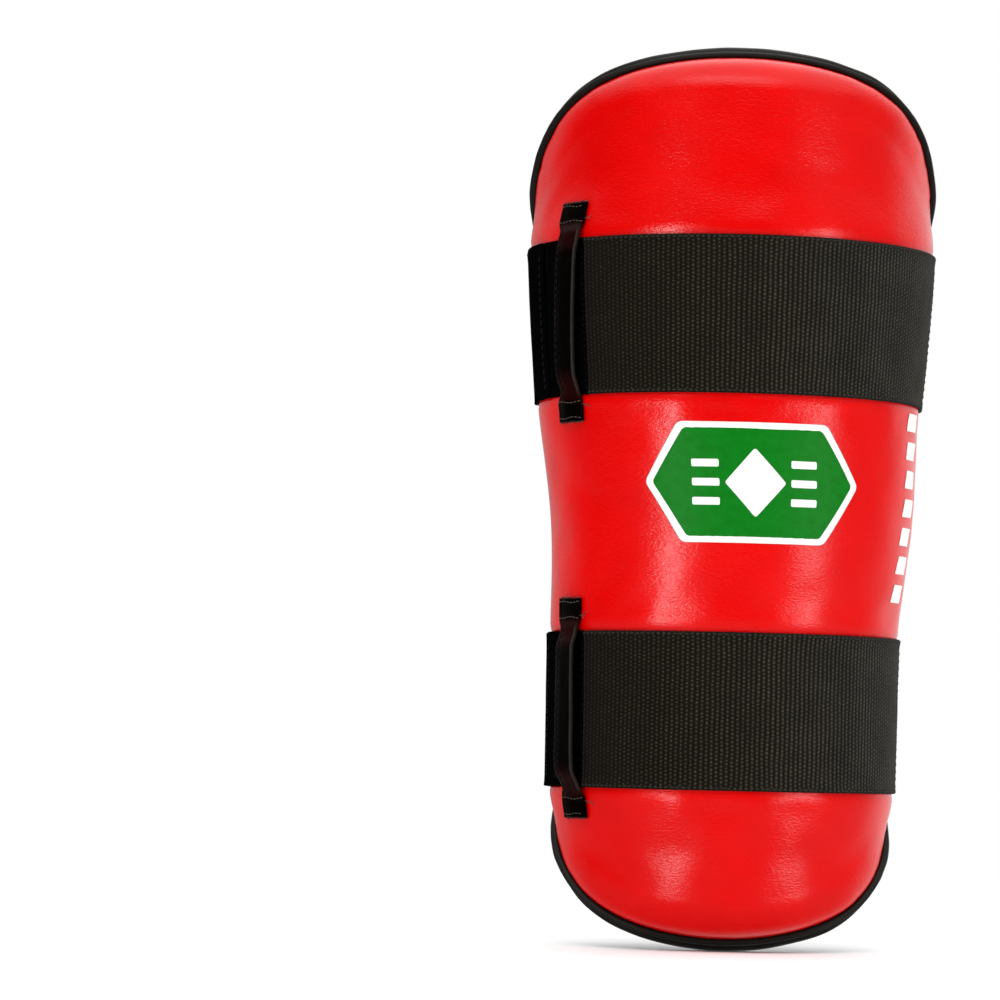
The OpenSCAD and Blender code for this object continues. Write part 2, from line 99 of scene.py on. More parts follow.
# Straps
STRAP_W = 50
STRAP_Z = {"upper": 201, "lower": 76}
ELASTIC_T = 1.5
LOOP_T = 0.9
TAB_T, TAB_MID = 0.7, 1.35
TAB_U = -0.72
PRESS_IN = 0.1
EDGE_ROUND = 0.75
WEAVE_STEP, WEAVE_ROWS = 0.24, 26
ROW_HALF = 23.5
TAIL_BOW = 18
JOIN_U = {"upper": -0.493, "lower": -0.555}
SEAM_U = 0.968
RIB_PITCH = 1.47
DOT_PITCH = 1.27
KEEPER_U = {"upper": -0.559, "lower": -0.615}
KEEPER_TILT = {"upper": 0.0006, "lower": -0.00055}
KEEPER_ARCH = {"upper": 3.0, "lower": 4.2}
KEEPER_W, KEEPER_T, FOOT = 8.8, 1.7, 7
KEEPER_HALF = STRAP_W / 2 + 3 + FOOT
KEEPER_RAISED = {"upper": 1.6, "lower": 0.3}
FOOT_WIDER, FOOT_SHIFT = 3.2, 0.8
FOLD = {}
for joint in frame["joints"]:
    where, direction = Vector(joint["pos_m"]) / MM, Vector(joint["axis"])
    side = "right" if "swing" in joint["name"] else "left"
    FOLD[joint["name"].split("_")[0], side] = (where, direction / direction.z)

QUICK = 1.0


# ---------------------------------------------------------------- the shell surface
def smooth(x):
    c = np.clip(x, 0, 1)
    return c * c * (3 - 2 * c)


def half_width(z):
    return WRIST_HALF + (ELBOW_HALF - WRIST_HALF) * smooth((z - TAPER_LO) / (TAPER_HI - TAPER_LO))


def lean(z):
    return END_LEAN * (2 * z / LENGTH - 1) ** 2


def reach(z):
    """Arc length on the arm side that goes with one unit of u."""
    a = half_width(z) - WALL_SIDE - FLARE
    b = DEPTH_RATIO * half_width(z) - WALL_FRONT
    return np.pi / 4 * (a + b)


def outer_reach(z):
    return reach(z) + np.pi / 2 * OUTER_RISE


def at_end(z):
    """0 along the straight part of the guard, 1 at its rounded ends."""
    elbow = smooth((z - MID_Z - ELBOW_START) / ELBOW_BLEND)
    wrist = smooth((MID_Z - z - WRIST_START) / WRIST_BLEND)
    return np.where(z > MID_Z, elbow, wrist)


def foam(u, z):
    thin = CORNER_THIN * at_end(z)
    crown = np.maximum(0, np.cos(np.pi / 2 * u)) ** (1 + thin)
    return FOAM_SIDE * (1 - 0.6 * thin) + (FOAM_FRONT - FOAM_SIDE) * crown


def inset_of(u, z):
    """Distance in from the panel's edge, negative outside it."""
    beyond = np.where(z > SIDE_HI, (z - SIDE_HI) / ELBOW_ROUND, np.maximum(0, SIDE_LO - z) / WRIST_ROUND)
    power = np.where(z > MID_Z, ELBOW_POWER, WRIST_POWER)
    return reach(z) * (1 - (np.abs(u) ** power + beyond**power) ** (1 / power))


def curl(u, z):
    """How far the rim bends outward at the four corners."""
    near_rim = np.clip(1 - inset_of(u, z) / CURL_REACH, 0, 1.3) ** 2
    share = at_end(z) * smooth((np.abs(u) - 0.1) / 0.45) * near_rim
    return np.where(z > MID_Z, ELBOW_CURL, WRIST_CURL) * share


def surf(u, z, h):
    """Points h outside the arm side, for u from -1 (left rim) to 1 (right rim)."""
    u, z, h = np.broadcast_arrays(*(np.asarray(v, float) for v in (u, z, h)))
    a = half_width(z) - WALL_SIDE - FLARE
    b = DEPTH_RATIO * half_width(z) - WALL_FRONT
    p = np.pi / 2 * u
    nx, ny = b * np.sin(p), -a * np.cos(p)
    n = np.hypot(nx, ny)
    h = h + curl(u, z)
    x = a * np.sin(p) + FLARE * np.sign(u) * np.abs(u) ** 6 + h * nx / n
    x = x + SIDE_BOW * np.maximum(0, 1 - ((z - BOW_Z) / BOW_REACH) ** 2) ** 2
    y = lean(z) - b * np.cos(p) + h * ny / n
    return np.stack([x, y, z], -1)


def edge(count):
    """The panel's edge as u, z and its outward direction across and along, count points."""
    # a walk along the arcs and straights in proportion to their length
    def end_curve(z, height, power):
        arc = np.linspace(0, np.pi, 801)
        across = np.sign(np.cos(arc)) * np.abs(np.cos(arc)) ** (2 / power)
        return np.stack([across, z + height * np.abs(np.sin(arc)) ** (2 / power)], 1)

    top = end_curve(SIDE_HI, ELBOW_ROUND, ELBOW_POWER)
    low = end_curve(SIDE_LO, -WRIST_ROUND, WRIST_POWER) * [-1, 1]
    walk = np.vstack([top, low, top[:1]])
    step = np.hypot(np.diff(walk[:, 0]) * reach(walk[:-1, 1]), np.diff(walk[:, 1]))
    along = np.concatenate([[0], np.cumsum(step)])
    at = np.linspace(0, along[-1], count, endpoint=False)
    u, z = np.interp(at, along, walk[:, 0]), np.interp(at, along, walk[:, 1])
    high, bottom = z > SIDE_HI, z < SIDE_LO
    power = np.where(high, ELBOW_POWER, WRIST_POWER) - 1
    dz = np.where(high, (np.maximum(z - SIDE_HI, 0) / ELBOW_ROUND) ** power / ELBOW_ROUND, 0)
    dz = np.where(bottom, -(np.maximum(SIDE_LO - z, 0) / WRIST_ROUND) ** power / WRIST_ROUND, dz)
    du = np.sign(u) * np.abs(u) ** power / reach(z)
    n = np.hypot(du, dz)
    return u, z, du / n, dz / n, at


def soft_noise(x, y, scale, seed=0):
    """Smooth noise from -1 to 1 at points x, y in millimetres."""
    x, y = np.broadcast_arrays(np.asarray(x, float), np.asarray(y, float))
    flat = [noise.noise(Vector((a / scale, b / scale, seed * 7.3))) for a, b in zip(x.ravel(), y.ravel())]
    return np.array(flat).reshape(x.shape)


def strap_mask(z, spread):
    """1 under a strap, fading to 0 over spread beyond its edges."""
    mask = np.zeros_like(z, float)
    for zc in STRAP_Z.values():
        mask = np.maximum(mask, smooth((STRAP_W / 2 + spread / 2 - np.abs(z - zc)) / spread))
    return mask


def undulation(s, z):
    """Slight unevenness of the foam, s across and z up."""
    long_wave = 0.2 * np.sin(s / 11.3 + 0.7 * np.sin(z / 23)) * np.sin(z / 17.1 + 1.1)
    short_wave = 0.07 * np.sin(s / 4.9 + z / 9.7) * np.sin(z / 6.3 - s / 14)
    return long_wave + short_wave


def cover_h(u, z):
    """Height of the cover: crowned foam, pressed down under the straps and swollen beside them."""
    pressed = strap_mask(z, 5) * (1 + 0.9 * smooth((-u - 0.62) / 0.2))
    beside = strap_mask(z, 26) - strap_mask(z, 6)
    crown = np.sqrt(np.maximum(0, np.cos(np.pi / 2 * u)))
    uneven = crown * undulation(u * outer_reach(z), z) + from_table("cover", u, z)
    return BASE_H + foam(u, z) + COVER_TOP - 0.55 * pressed + 0.5 * beside * crown + uneven


SETTLED = {}


def from_table(name, u, z):
    """How far the simulated cloth of that name has moved at u, z; 0 before it is simulated."""
    u, z = np.broadcast_arrays(np.asarray(u, float), np.asarray(z, float))
    if name not in SETTLED:
        return np.zeros(u.shape)
    table = SETTLED[name]
    rows, cols = table.shape
    across = np.clip((u + 1) / 2, 0, 1) * (cols - 1)
    along = np.clip(z / LENGTH, 0, 1) * (rows - 1)
    i = np.minimum(across.astype(int), cols - 2)
    j = np.minimum(along.astype(int), rows - 2)
    a, b = smooth(across - i), smooth(along - j)
    low = table[j, i] * (1 - a) + table[j, i + 1] * a
    high = table[j + 1, i] * (1 - a) + table[j + 1, i + 1] * a
    return low * (1 - b) + high * b


# ---------------------------------------------------------------- mesh builders
def add_object(name, data):
    made = bpy.data.objects.new(name, data)
    bpy.context.collection.objects.link(made)
    return made


def make_mesh(name, points, faces, coords=None, smooth_faces=True):
    """A mesh piece from millimetre points; coords become the "mm" attribute of its material."""
    mesh = bpy.data.meshes.new(name)
    mesh.from_pydata((np.asarray(points, float) * MM).tolist(), [], [list(f) for f in faces])
    if coords is not None:
        attribute = mesh.attributes.new("mm", "FLOAT_VECTOR", "POINT")
        flat = np.zeros((len(points), 3))
        flat[:, : coords.shape[1]] = coords
        attribute.data.foreach_set("vector", flat.ravel())
    mesh.polygons.foreach_set("use_smooth", [smooth_faces] * len(mesh.polygons))
    mesh.update()
    return add_object(name, mesh)


def grid_faces(rows, cols, wrap_rows=False, wrap_cols=False):
    faces = []
    for j in range(rows if wrap_rows else rows - 1):
        k = (j + 1) % rows
        for i in range(cols if wrap_cols else cols - 1):
            m = (i + 1) % cols
            faces.append((j * cols + i, j * cols + m, k * cols + m, k * cols + i))
    return faces


def flipped(faces):
    return [tuple(reversed(f)) for f in faces]


def disc(name, rings, coords, pole_lo, pole_hi, pole_coords):
    """A closed skin over rings of points (ring, point, 3), from the lower middle to the upper."""
    m, n = rings.shape[:2]
    points = np.vstack([rings.reshape(-1, 3), pole_lo, pole_hi])
    faces = flipped(grid_faces(m, n, wrap_cols=True))
    faces += [(m * n, i, (i + 1) % n) for i in range(n)]
    faces += [(m * n + 1, (m - 1) * n + (i + 1) % n, (m - 1) * n + i) for i in range(n)]
    flat = np.vstack([coords.reshape(-1, 2), pole_coords, pole_coords])
    return make_mesh(name, points, faces, flat)


def strip_faces(stations, count):
    """Faces of a closed strip whose loops have an even count, capped like a ladder at both ends."""
    faces = grid_faces(stations, count, wrap_cols=True)
    last = (stations - 1) * count
    for i in range(count // 2 - 1):
        a, b, c, d = i, i + 1, count - 2 - i, count - 1 - i
        faces.append((d, c, b, a))
        faces.append((last + a, last + b, last + c, last + d))
    return faces


def tube(path, radius, sides=8, closed=False):
    """Points and faces of a round tube along path (n, 3); radius may vary along it."""
    path = np.asarray(path, float)
    n = len(path)
    tangent = (np.roll(path, -1, 0) - np.roll(path, 1, 0)) if closed else np.gradient(path, axis=0)
    tangent /= np.linalg.norm(tangent, axis=1)[:, None]
    across = np.cross(tangent, [0.3, 0.2, 1.0])
    across /= np.linalg.norm(across, axis=1)[:, None]
    up = np.cross(tangent, across)
    turn = np.linspace(0, 2 * np.pi, sides, endpoint=False)
    r = np.broadcast_to(np.asarray(radius, float), (n,))[:, None, None]
    ring = np.cos(turn)[None, :, None] * across[:, None] + np.sin(turn)[None, :, None] * up[:, None]
    points = (path[:, None] + r * ring).reshape(-1, 3)
    faces = grid_faces(n, sides, wrap_rows=closed, wrap_cols=True)
    if not closed:
        faces.append(tuple(range(sides - 1, -1, -1)))
        faces.append(tuple((n - 1) * sides + i for i in range(sides)))
    return points, faces


class Bundle:
    """Many small solids gathered into one piece."""

    def __init__(self):
        self.points, self.faces, self.count = [], [], 0

    def add(self, points, faces):
        self.points.append(points)
        self.faces += [tuple(i + self.count for i in f) for f in faces]
        self.count += len(points)

    def make(self, name):
        return make_mesh(name, np.vstack(self.points), self.faces)


def stitch_row(bundle, path, normal, pitch, length, radius=0.22, sides=6):
    """Separate stitches along path, each a short thread that dips in at both ends."""
    step = np.linalg.norm(np.diff(path, axis=0), axis=1)
    along = np.concatenate([[0], np.cumsum(step)])
    for k in range(int((along[-1] - length) / pitch) + 1):
        at = k * pitch + length * np.linspace(0, 1, 6)
        mid = np.stack([np.interp(at, along, path[:, c]) for c in range(3)], 1)
        out = np.stack([np.interp(at, along, normal[:, c]) for c in range(3)], 1)
        lift = np.array([-0.35, -0.02, 0.1, 0.1, -0.02, -0.35])[:, None]
        points, faces = tube(mid + out * lift, radius * np.array([0.7, 1, 1.05, 1.05, 1, 0.7]), sides)
        bundle.add(points, faces)


# ---------------------------------------------------------------- materials
def math_call(operation, swapped=False):
    """A call that passes its values through one math node."""
    def call(value, *others):
        values = (*others, value) if swapped else (value, *others)
        return value.graph.math(operation, *values)
    return call


class Value:
    """A number in a node tree, so that a pattern can be written as arithmetic."""

    def __init__(self, graph, socket):
        self.graph, self.socket = graph, socket

    __add__, __sub__ = math_call("ADD"), math_call("SUBTRACT")
    __rsub__ = math_call("SUBTRACT", swapped=True)
    __mul__, __truediv__ = math_call("MULTIPLY"), math_call("DIVIDE")
    __pow__, __mod__, __abs__ = math_call("POWER"), math_call("MODULO"), math_call("ABSOLUTE")
    __lt__, __gt__ = math_call("LESS_THAN"), math_call("GREATER_THAN")


sine, floor, higher = math_call("SINE"), math_call("FLOOR"), math_call("MAXIMUM")


def lower(value, limit, blend=0.0):
    return value.graph.math("SMOOTH_MIN" if blend else "MINIMUM", value, limit, blend)


class Graph:
    """Short calls for building the nodes of a material or of the world."""

    def __init__(self, owner):
        owner.use_nodes = True
        self.owner = owner
        self.tree = owner.node_tree

    def node(self, kind, **settings):
        made = self.tree.nodes.new("ShaderNode" + kind)
        for key, value in settings.items():
            setattr(made, key, value)
        return made

    def link(self, source, target):
        if isinstance(source, Value):
            source = source.socket
        if isinstance(source, bpy.types.NodeSocket):
            self.tree.links.new(source, target)
        else:
            target.default_value = source

    def filled(self, made, **inputs):
        """The first output of a node whose named inputs are linked or set."""
        for name, value in inputs.items():
            self.link(value, made.inputs[name])
        return Value(self, made.outputs[0])

    def math(self, operation, *values):
        made = self.node("Math", operation=operation)
        for value, socket in zip(values, made.inputs):
            self.link(value, socket)
        return Value(self, made.outputs[0])

    def split(self, vector):
        parts = self.node("SeparateXYZ")
        self.link(vector, parts.inputs[0])
        return [Value(self, part) for part in parts.outputs]

    def coords(self):
        """The piece's own millimetre coordinates: both together, along, across."""
        vector = self.node("Attribute", attribute_name="mm").outputs["Vector"]
        return vector, *self.split(vector)[:2]

    def place(self):
        """Object coordinates in millimetres, for pieces with no coordinates of their own."""
        return self.scaled(self.node("TexCoord").outputs["Object"], (1 / MM, 1 / MM, 1 / MM))

    def scaled(self, vector, scale):
        made = self.node("VectorMath", operation="MULTIPLY")
        self.link(vector, made.inputs[0])
        made.inputs[1].default_value = scale
        return made.outputs[0]

    def noise(self, vector, scale, detail=2.0, rough=0.5):
        made = self.node("TexNoise")
        return self.filled(made, Vector=vector, Scale=scale, Detail=detail, Roughness=rough)

    def cells(self, vector, scale):
        return self.filled(self.node("TexVoronoi"), Vector=vector, Scale=scale)

    def smooth_step(self, value, lo, hi, out_lo, out_hi):
        made = self.node("MapRange", interpolation_type="SMOOTHSTEP")
        return self.filled(made, **{"Value": value, "From Min": lo, "From Max": hi, "To Min": out_lo,
                                    "To Max": out_hi})

    def ramp(self, value, stops):
        made = self.node("ValToRGB")
        self.link(value, made.inputs[0])
        while len(made.color_ramp.elements) < len(stops):
            made.color_ramp.elements.new(0.5)
        for element, (at, color) in zip(made.color_ramp.elements, stops):
            element.position = at
            element.color = (*color, 1)
        return Value(self, made.outputs[0])

    def mix(self, share, a, b):
        made = self.node("Mix", data_type="RGBA")
        self.link(share, made.inputs[0])
        for value, socket in ((a, made.inputs[6]), (b, made.inputs[7])):
            self.link((*value, 1) if isinstance(value, tuple) else value, socket)
        return Value(self, made.outputs[2])

    def shader(self):
        return self.tree.nodes["Principled BSDF"]

    def bump(self, height, depth_mm, strength=1.0):
        """Bump from a height of 0 to 1 that stands for depth_mm."""
        normal = self.filled(self.node("Bump"), Strength=strength, Distance=depth_mm * MM, Height=height)
        self.link(normal, self.shader().inputs["Normal"])

    def finished(self, **values):
        """The material, once the inputs of its shader are linked or set."""
        names = {"color": "Base Color", "rough": "Roughness", "specular": "Specular IOR Level",
                 "sheen": "Sheen Weight", "sheen_rough": "Sheen Roughness"}
        for key, value in values.items():
            self.link(value, self.shader().inputs[names[key]])
        return self.owner


def new_material(name):
    return Graph(bpy.data.materials.new(name))


def leather_grain(g, vector):
    """Fine creases that run mostly across the guard, with soft pores between them."""
    creases = g.noise(g.scaled(vector, (0.55, 1.5, 1)), 1.0, 4.0, 0.6)
    fine = g.noise(g.scaled(vector, (1.3, 2.6, 1)), 1.0, 2.0, 0.5)
    pores = g.cells(g.scaled(vector, (1.0, 1.7, 1)), 1.0)
    small = fine * 0.25 + pores * 0.3
    return creases * 0.6 + small


def red_leather():
    """Red synthetic leather: satin, with a fine grain that runs across the guard."""
    g = new_material("cover_red")
    vector, _, _ = g.coords()
    grain = leather_grain(g, vector)
    g.bump(grain, 0.2, 0.6)
    tone = g.noise(vector, 0.05, 2.0)
    color = g.ramp(tone, [(0.3, (0.64, 0.0002, 0.0002)), (0.7, (0.70, 0.0004, 0.0003))])
    rough = grain * 0.1 + 0.18
    return g.finished(color=color, rough=rough, specular=0.26)


def black_leather(name, rough, grain_mm, specular, tint):
    """Black synthetic leather for the binding and the piping."""
    g = new_material(name)
    vector = g.place()
    grain = g.noise(vector, 1 / grain_mm, 3.0, 0.6)
    pores = g.cells(vector, 0.8 / grain_mm)
    g.bump(grain * 0.6 + pores * 0.4, 0.06, 0.5)
    worn = g.noise(vector, 0.12, 2.0)
    color = g.mix(lower(worn, 0.8, 0.1), tint, tuple(2.0 * c for c in tint))
    return g.finished(color=color, rough=grain * 0.14 + rough, specular=specular)


def keeper_leather():
    """Smooth glossy black leather, with a painted highlight along the folded edge and a painted
    reflection of the red cover near the feet.
    """
    g = new_material("keeper_leather")
    vector, along, across = g.coords()
    streaks = g.noise(g.scaled(vector, (0.12, 1.4, 1)), 1.0, 3.0, 0.6)
    grain = g.noise(vector, 1.6, 3.0, 0.6)
    g.bump(streaks * 0.7 + grain * 0.2, 0.18, 0.6)
    from_fold = abs(across - KEEPER_W * 0.46)
    near_fold = 1.0 - from_fold * 1.9
    from_middle = abs(along) / KEEPER_HALF
    on_bridge = g.ramp(from_middle, [(0.72, (1, 1, 1)), (0.80, (0, 0, 0))])
    # painted highlight: a paler line along the folded edge of the bridge, broken up by the streaks
    painted_fold_highlight = higher(near_fold, 0.0) * (streaks * 1.2 + 0.3)
    painted_fold_highlight = painted_fold_highlight * on_bridge
    # pale is the colour of the painted fold highlight; warm is a painted reflection of the red cover,
    # near the feet
    deep, warm, pale = (0.0012, 0.0004, 0.0003), (0.011, 0.0008, 0.0006), (0.026, 0.024, 0.020)
    plain = g.ramp(from_middle, [(0.52, deep), (0.64, warm), (0.78, warm), (0.86, deep)])
    color = g.mix(g.ramp(painted_fold_highlight, [(0.1, (0, 0, 0)), (0.8, (1, 1, 1))]), plain, pale)
    return g.finished(color=color, rough=grain * 0.16 + 0.2, specular=0.014)


def elastic_web():
    """Woven elastic: ribs across the strap, small loops of yarn on them and a stitched selvage."""
    g = new_material("elastic")
    vector, along, across = g.coords()
    drift = g.noise(g.scaled(vector, (0.15, 0.1, 1)), 1.0, 2.0)
    column = along / RIB_PITCH + drift * 0.5
    odd = abs(floor(column)) % 2.0
    rib = abs(sine(column * math.pi))
    wander = g.noise(vector, 0.55, 3.0, 0.6)
    cell = across / DOT_PITCH + odd * 0.5
    cell = cell + wander * 1.1
    dot = abs(sine(cell * math.pi))
    fuzz = g.noise(vector, 3.4, 3.0, 0.7)
    # loops stand out near the join; towards the seam the ribs run together
    plain = lower(higher(along * 0.014 - 0.35, 0.0), 0.75, 0.2)
    loop = rib**4.0 * dot**6.0
    ridge = rib**1.3
    weave = loop * (0.95 - plain * 0.5) + ridge * (plain * 0.45 + 0.16)
    weave = weave * (fuzz * 1.7 + 0.05)
    edge_in = STRAP_W / 2 - abs(across)
    selvage = edge_in < 1.3
    line = abs(edge_in - 0.8) < 0.24
    dash = sine(along * (2 * math.pi / 1.65)) > 0.0
    thread = line * dash * wander * 0.5
    height = weave * (1.0 - selvage * 0.5)
    height = higher(height, thread)
    g.bump(height, 0.25, 0.8)
    shade = lower(along * 0.03, 1.0) * 0.5 + 0.5
    uneven = g.noise(vector, 0.09, 3.0) * 0.9 + 0.55
    tone = weave * shade * uneven
    cool = g.ramp(tone, [(0.03, (0.0042, 0.0038, 0.0027)), (0.3, (0.0112, 0.0102, 0.0074)),
                         (0.9, (0.060, 0.056, 0.043))])
    warm = g.ramp(tone, [(0.03, (0.0042, 0.0026, 0.0009)), (0.3, (0.0115, 0.0075, 0.0026)),
                         (0.9, (0.060, 0.046, 0.022))])
    woven = g.mix(lower(along * 0.011, 1.0), warm, cool)
    dark = g.mix(selvage * 0.6, woven, (0.004, 0.0036, 0.0026))
    color = g.mix(thread, dark, (0.10, 0.09, 0.065))
    return g.finished(color=color, rough=0.85, specular=0.08, sheen=0.04, sheen_rough=0.5)


def pile(name, color_lo, color_hi):
    """Brushed loop pile or napped lining."""
    g = new_material(name)
    vector = g.place()
    fuzz = g.noise(vector, 2.6, 4.0, 0.75)
    tufts = g.cells(vector, 1.3)
    height = fuzz * 0.6 + tufts * 0.5
    g.bump(height, 0.4, 0.9)
    color = g.ramp(height, [(0.2, color_lo), (0.8, color_hi)])
    return g.finished(color=color, rough=0.95, specular=0.0)


def knit_lining():
    """Charcoal air-mesh knit: rows of small loops over a darker ground."""
    g = new_material("lining")
    vector, along, across = g.coords()
    column = along / 1.7
    odd = abs(floor(column)) % 2.0
    row = across / 1.5 + odd * 0.5
    wave = abs(sine(column * math.pi)) * abs(sine(row * math.pi))
    fuzz = g.noise(vector, 3.0, 3.0, 0.7)
    height = wave**0.6 * (fuzz * 0.6 + 0.6)
    g.bump(height, 0.35, 0.8)
    tone = height * (g.noise(vector, 0.04) * 0.8 + 0.6)
    color = g.ramp(tone, [(0.1, (0.008, 0.008, 0.009)), (0.9, (0.05, 0.05, 0.054))])
    return g.finished(color=color, rough=0.9, specular=0.15, sheen=0.25, sheen_rough=0.4)


def printed(name, color_lo, color_hi):
    """A screen-printed film that shows the leather grain below it."""
    g = new_material(name)
    vector, _, _ = g.coords()
    grain = leather_grain(g, vector)
    g.bump(grain, 0.16, 0.7)
    tone = g.noise(vector, 0.35, 3.0)
    color = g.ramp(tone, [(0.3, color_lo), (0.7, color_hi)])
    return g.finished(color=color, rough=grain * 0.12 + 0.36, specular=0.1)


def foam_block(name, color):
    """Closed-cell foam with fine pores."""
    g = new_material(name)
    vector = g.place()
    pores = g.cells(vector, 1.4)
    g.bump(pores, 0.25, 0.8)
    shade = pores * 0.5 + 0.7
    tint = g.mix(shade, tuple(0.6 * c for c in color), color)
    return g.finished(color=tint, rough=0.85, specular=0.2)


def thread(name, color, specular=0.4):
    """Twisted nylon thread."""
    g = new_material(name)
    vector = g.place()
    twist = g.noise(g.scaled(vector, (1, 1, 2.2)), 2.4, 2.0)
    g.bump(twist, 0.12, 0.7)
    lit = tuple(1.8 * c for c in color)
    return g.finished(color=g.mix(twist, color, lit), rough=0.55, specular=specular)


def nylon_tab():
    """Plain black nylon tape of the fastening tab."""
    g = new_material("tab_nylon")
    vector, along, across = g.coords()
    warp = abs(sine(across * (math.pi / 0.7)))
    weft = abs(sine(along * (math.pi / 0.5)))
    fuzz = g.noise(vector, 3.5, 3.0, 0.7)
    height = (weft * 0.4 + warp * 0.5) * (fuzz * 0.6 + 0.6)
    g.bump(height, 0.2, 0.8)
    color = g.ramp(height, [(0.1, (0.0003, 0.0003, 0.0003)), (0.8, (0.0022, 0.0022, 0.0022))])
    return g.finished(color=color, rough=0.9, specular=0.0)


MATERIALS = {
    "cover_red": red_leather(),
    "binding": black_leather("binding", 0.36, 0.7, 0.11, (0.0085, 0.0083, 0.0068)),
    "keeper_leather": keeper_leather(),
    "elastic": elastic_web(),
    "loop_pile": pile("loop_pile", (0.0004, 0.0004, 0.0004), (0.0022, 0.0022, 0.0022)),
    "hook_tape": pile("hook_tape", (0.002, 0.002, 0.002), (0.008, 0.008, 0.008)),
    "tab_nylon": nylon_tab(),
    "lining": knit_lining(),
    "print_white": printed("print_white", (0.80, 0.80, 0.78), (0.90, 0.90, 0.88)),
    "print_green": printed("print_green", (0.0006, 0.150, 0.004), (0.0012, 0.175, 0.008)),
    "foam_pale": foam_block("foam_pale", (0.62, 0.60, 0.55)),
    "foam_grey": foam_block("foam_grey", (0.30, 0.30, 0.33)),
    "thread_black": thread("thread_black", (0.002, 0.002, 0.0019), 0.15),
    "thread_grey": thread("thread_grey", (0.045, 0.042, 0.035)),
    "thread_dim": thread("thread_dim", (0.009, 0.008, 0.007), 0.1),
    "thread_dark": thread("thread_dark", (0.03, 0.028, 0.022)),
}


def finish_piece(piece, slot, body="guard", nodes=()):
    """Gives the piece the material of its slot, hides the CAD nodes that it stands for and attaches it to
    its body.
    """
    piece.data.materials.append(MATERIALS[slot])
    if nodes:
        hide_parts(*nodes)
    if body:
        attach(piece, body)
    return piece


# ---------------------------------------------------------------- cloth
CLOTH_COLS, CLOTH_ROWS, CLOTH_FRAMES = 73, 97, 20


def settle_cloth(name, height, held, push, slack, cap):
    """Lets a sheet over the padding settle and keeps how far it moved as a table over u and z."""
    u, z = np.meshgrid(np.linspace(-1, 1, CLOTH_COLS), np.linspace(0, LENGTH, CLOTH_ROWS))
    start = surf(u, z, height(u, z))
    outward = surf(u, z, height(u, z) + 1) - start
    rows, cols = u.shape
    sheet = make_mesh(name + "_sheet", start.reshape(-1, 3), grid_faces(rows, cols))
    pins = sheet.vertex_groups.new(name="held")
    for i, weight in enumerate(held(u, z).ravel()):
        if weight > 0.01:
            pins.add([i], float(weight), "REPLACE")
    cloth = sheet.modifiers.new("cloth", "CLOTH")
    cloth.settings.quality = 6
    cloth.settings.mass = 0.02
    cloth.settings.tension_stiffness = 10
    cloth.settings.compression_stiffness = 10
    cloth.settings.shear_stiffness = 4
    cloth.settings.bending_stiffness = 0.3
    cloth.settings.vertex_group_mass = "held"
    cloth.settings.use_pressure = True
    cloth.settings.uniform_pressure_force = push
    cloth.settings.shrink_min = -slack
    cloth.settings.effector_weights.gravity = 0
    cloth.collision_settings.use_collision = False
    cloth.point_cache.frame_start = 1
    cloth.point_cache.frame_end = CLOTH_FRAMES
    scene = bpy.context.scene
    for moment in range(1, CLOTH_FRAMES + 1):
        scene.frame_set(moment)
    shaped = sheet.evaluated_get(bpy.context.evaluated_depsgraph_get()).to_mesh()
    points = np.empty(rows * cols * 3)
    shaped.vertices.foreach_get("co", points)
    moved = ((points.reshape(rows, cols, 3) / MM - start) * outward).sum(-1)
    scene.frame_set(1)
    bpy.data.objects.remove(sheet)
    table = np.clip(moved, -cap, cap)
    for _ in range(2):
        table[1:-1, 1:-1] = (2 * table[1:-1, 1:-1] + table[:-2, 1:-1] + table[2:, 1:-1]
                             + table[1:-1, :-2] + table[1:-1, 2:]) / 6
    SETTLED[name] = table * (1 - held(u, z))
    print("cloth", name, "moved", round(float(moved.min()), 2), "to", round(float(moved.max()), 2), "mm")


def settle_all():
    """The red cover over its foam, held by the seam and the straps, and the lining on the arm side."""
    def cover_held(u, z):
        return np.maximum(1 - smooth((inset_of(u, z) - 4) / 6), strap_mask(z, 4))

    def lining_held(u, z):
        return 1 - smooth((inset_of(u, z) - 7) / 5)

    settle_cloth("cover", cover_h, cover_held, 4, 0.004, 1.0)
    settle_cloth("lining", lambda u, z: 0.1 + 0 * u, lining_held, -4, 0.012, 1.6)


# ---------------------------------------------------------------- padded shell
def ring_set(count, spec):
    """Rings of a layer. spec is a list of (inset, share of the edge roll, scale, height call)."""
    u0, z0, nu, nz, at = edge(count)
    roll = SIDE_ROLL + (END_ROLL - SIDE_ROLL) * np.maximum(np.cos(np.pi / 2 * u0), at_end(z0))
    rings, coords = [], []
    for inset, share, scale, height in spec:
        d = inset + share * roll
        u = scale * (u0 - d * nu / reach(z0))
        z = MID_Z + scale * (z0 - d * nz - MID_Z)
        rings.append(surf(u, z, height(u, z, at)))
        coords.append(np.stack([u * outer_reach(z), z], -1))
    return np.array(rings), np.array(coords)


def layer(name, count, spec):
    rings, coords = ring_set(count, spec)
    zero = np.zeros(1)
    middle = np.full(1, MID_Z)
    lo = surf(0, MID_Z, spec[0][3](zero, middle, zero)[0])
    hi = surf(0, MID_Z, spec[-1][3](zero, middle, zero)[0])
    return disc(name, rings, coords, lo, hi, np.array([[0, MID_Z]]))


def flat(height):
    return lambda u, z, at: np.full_like(u, height)


INNER = np.linspace(0.985, 0.02, 64)
DEEP = 13.5


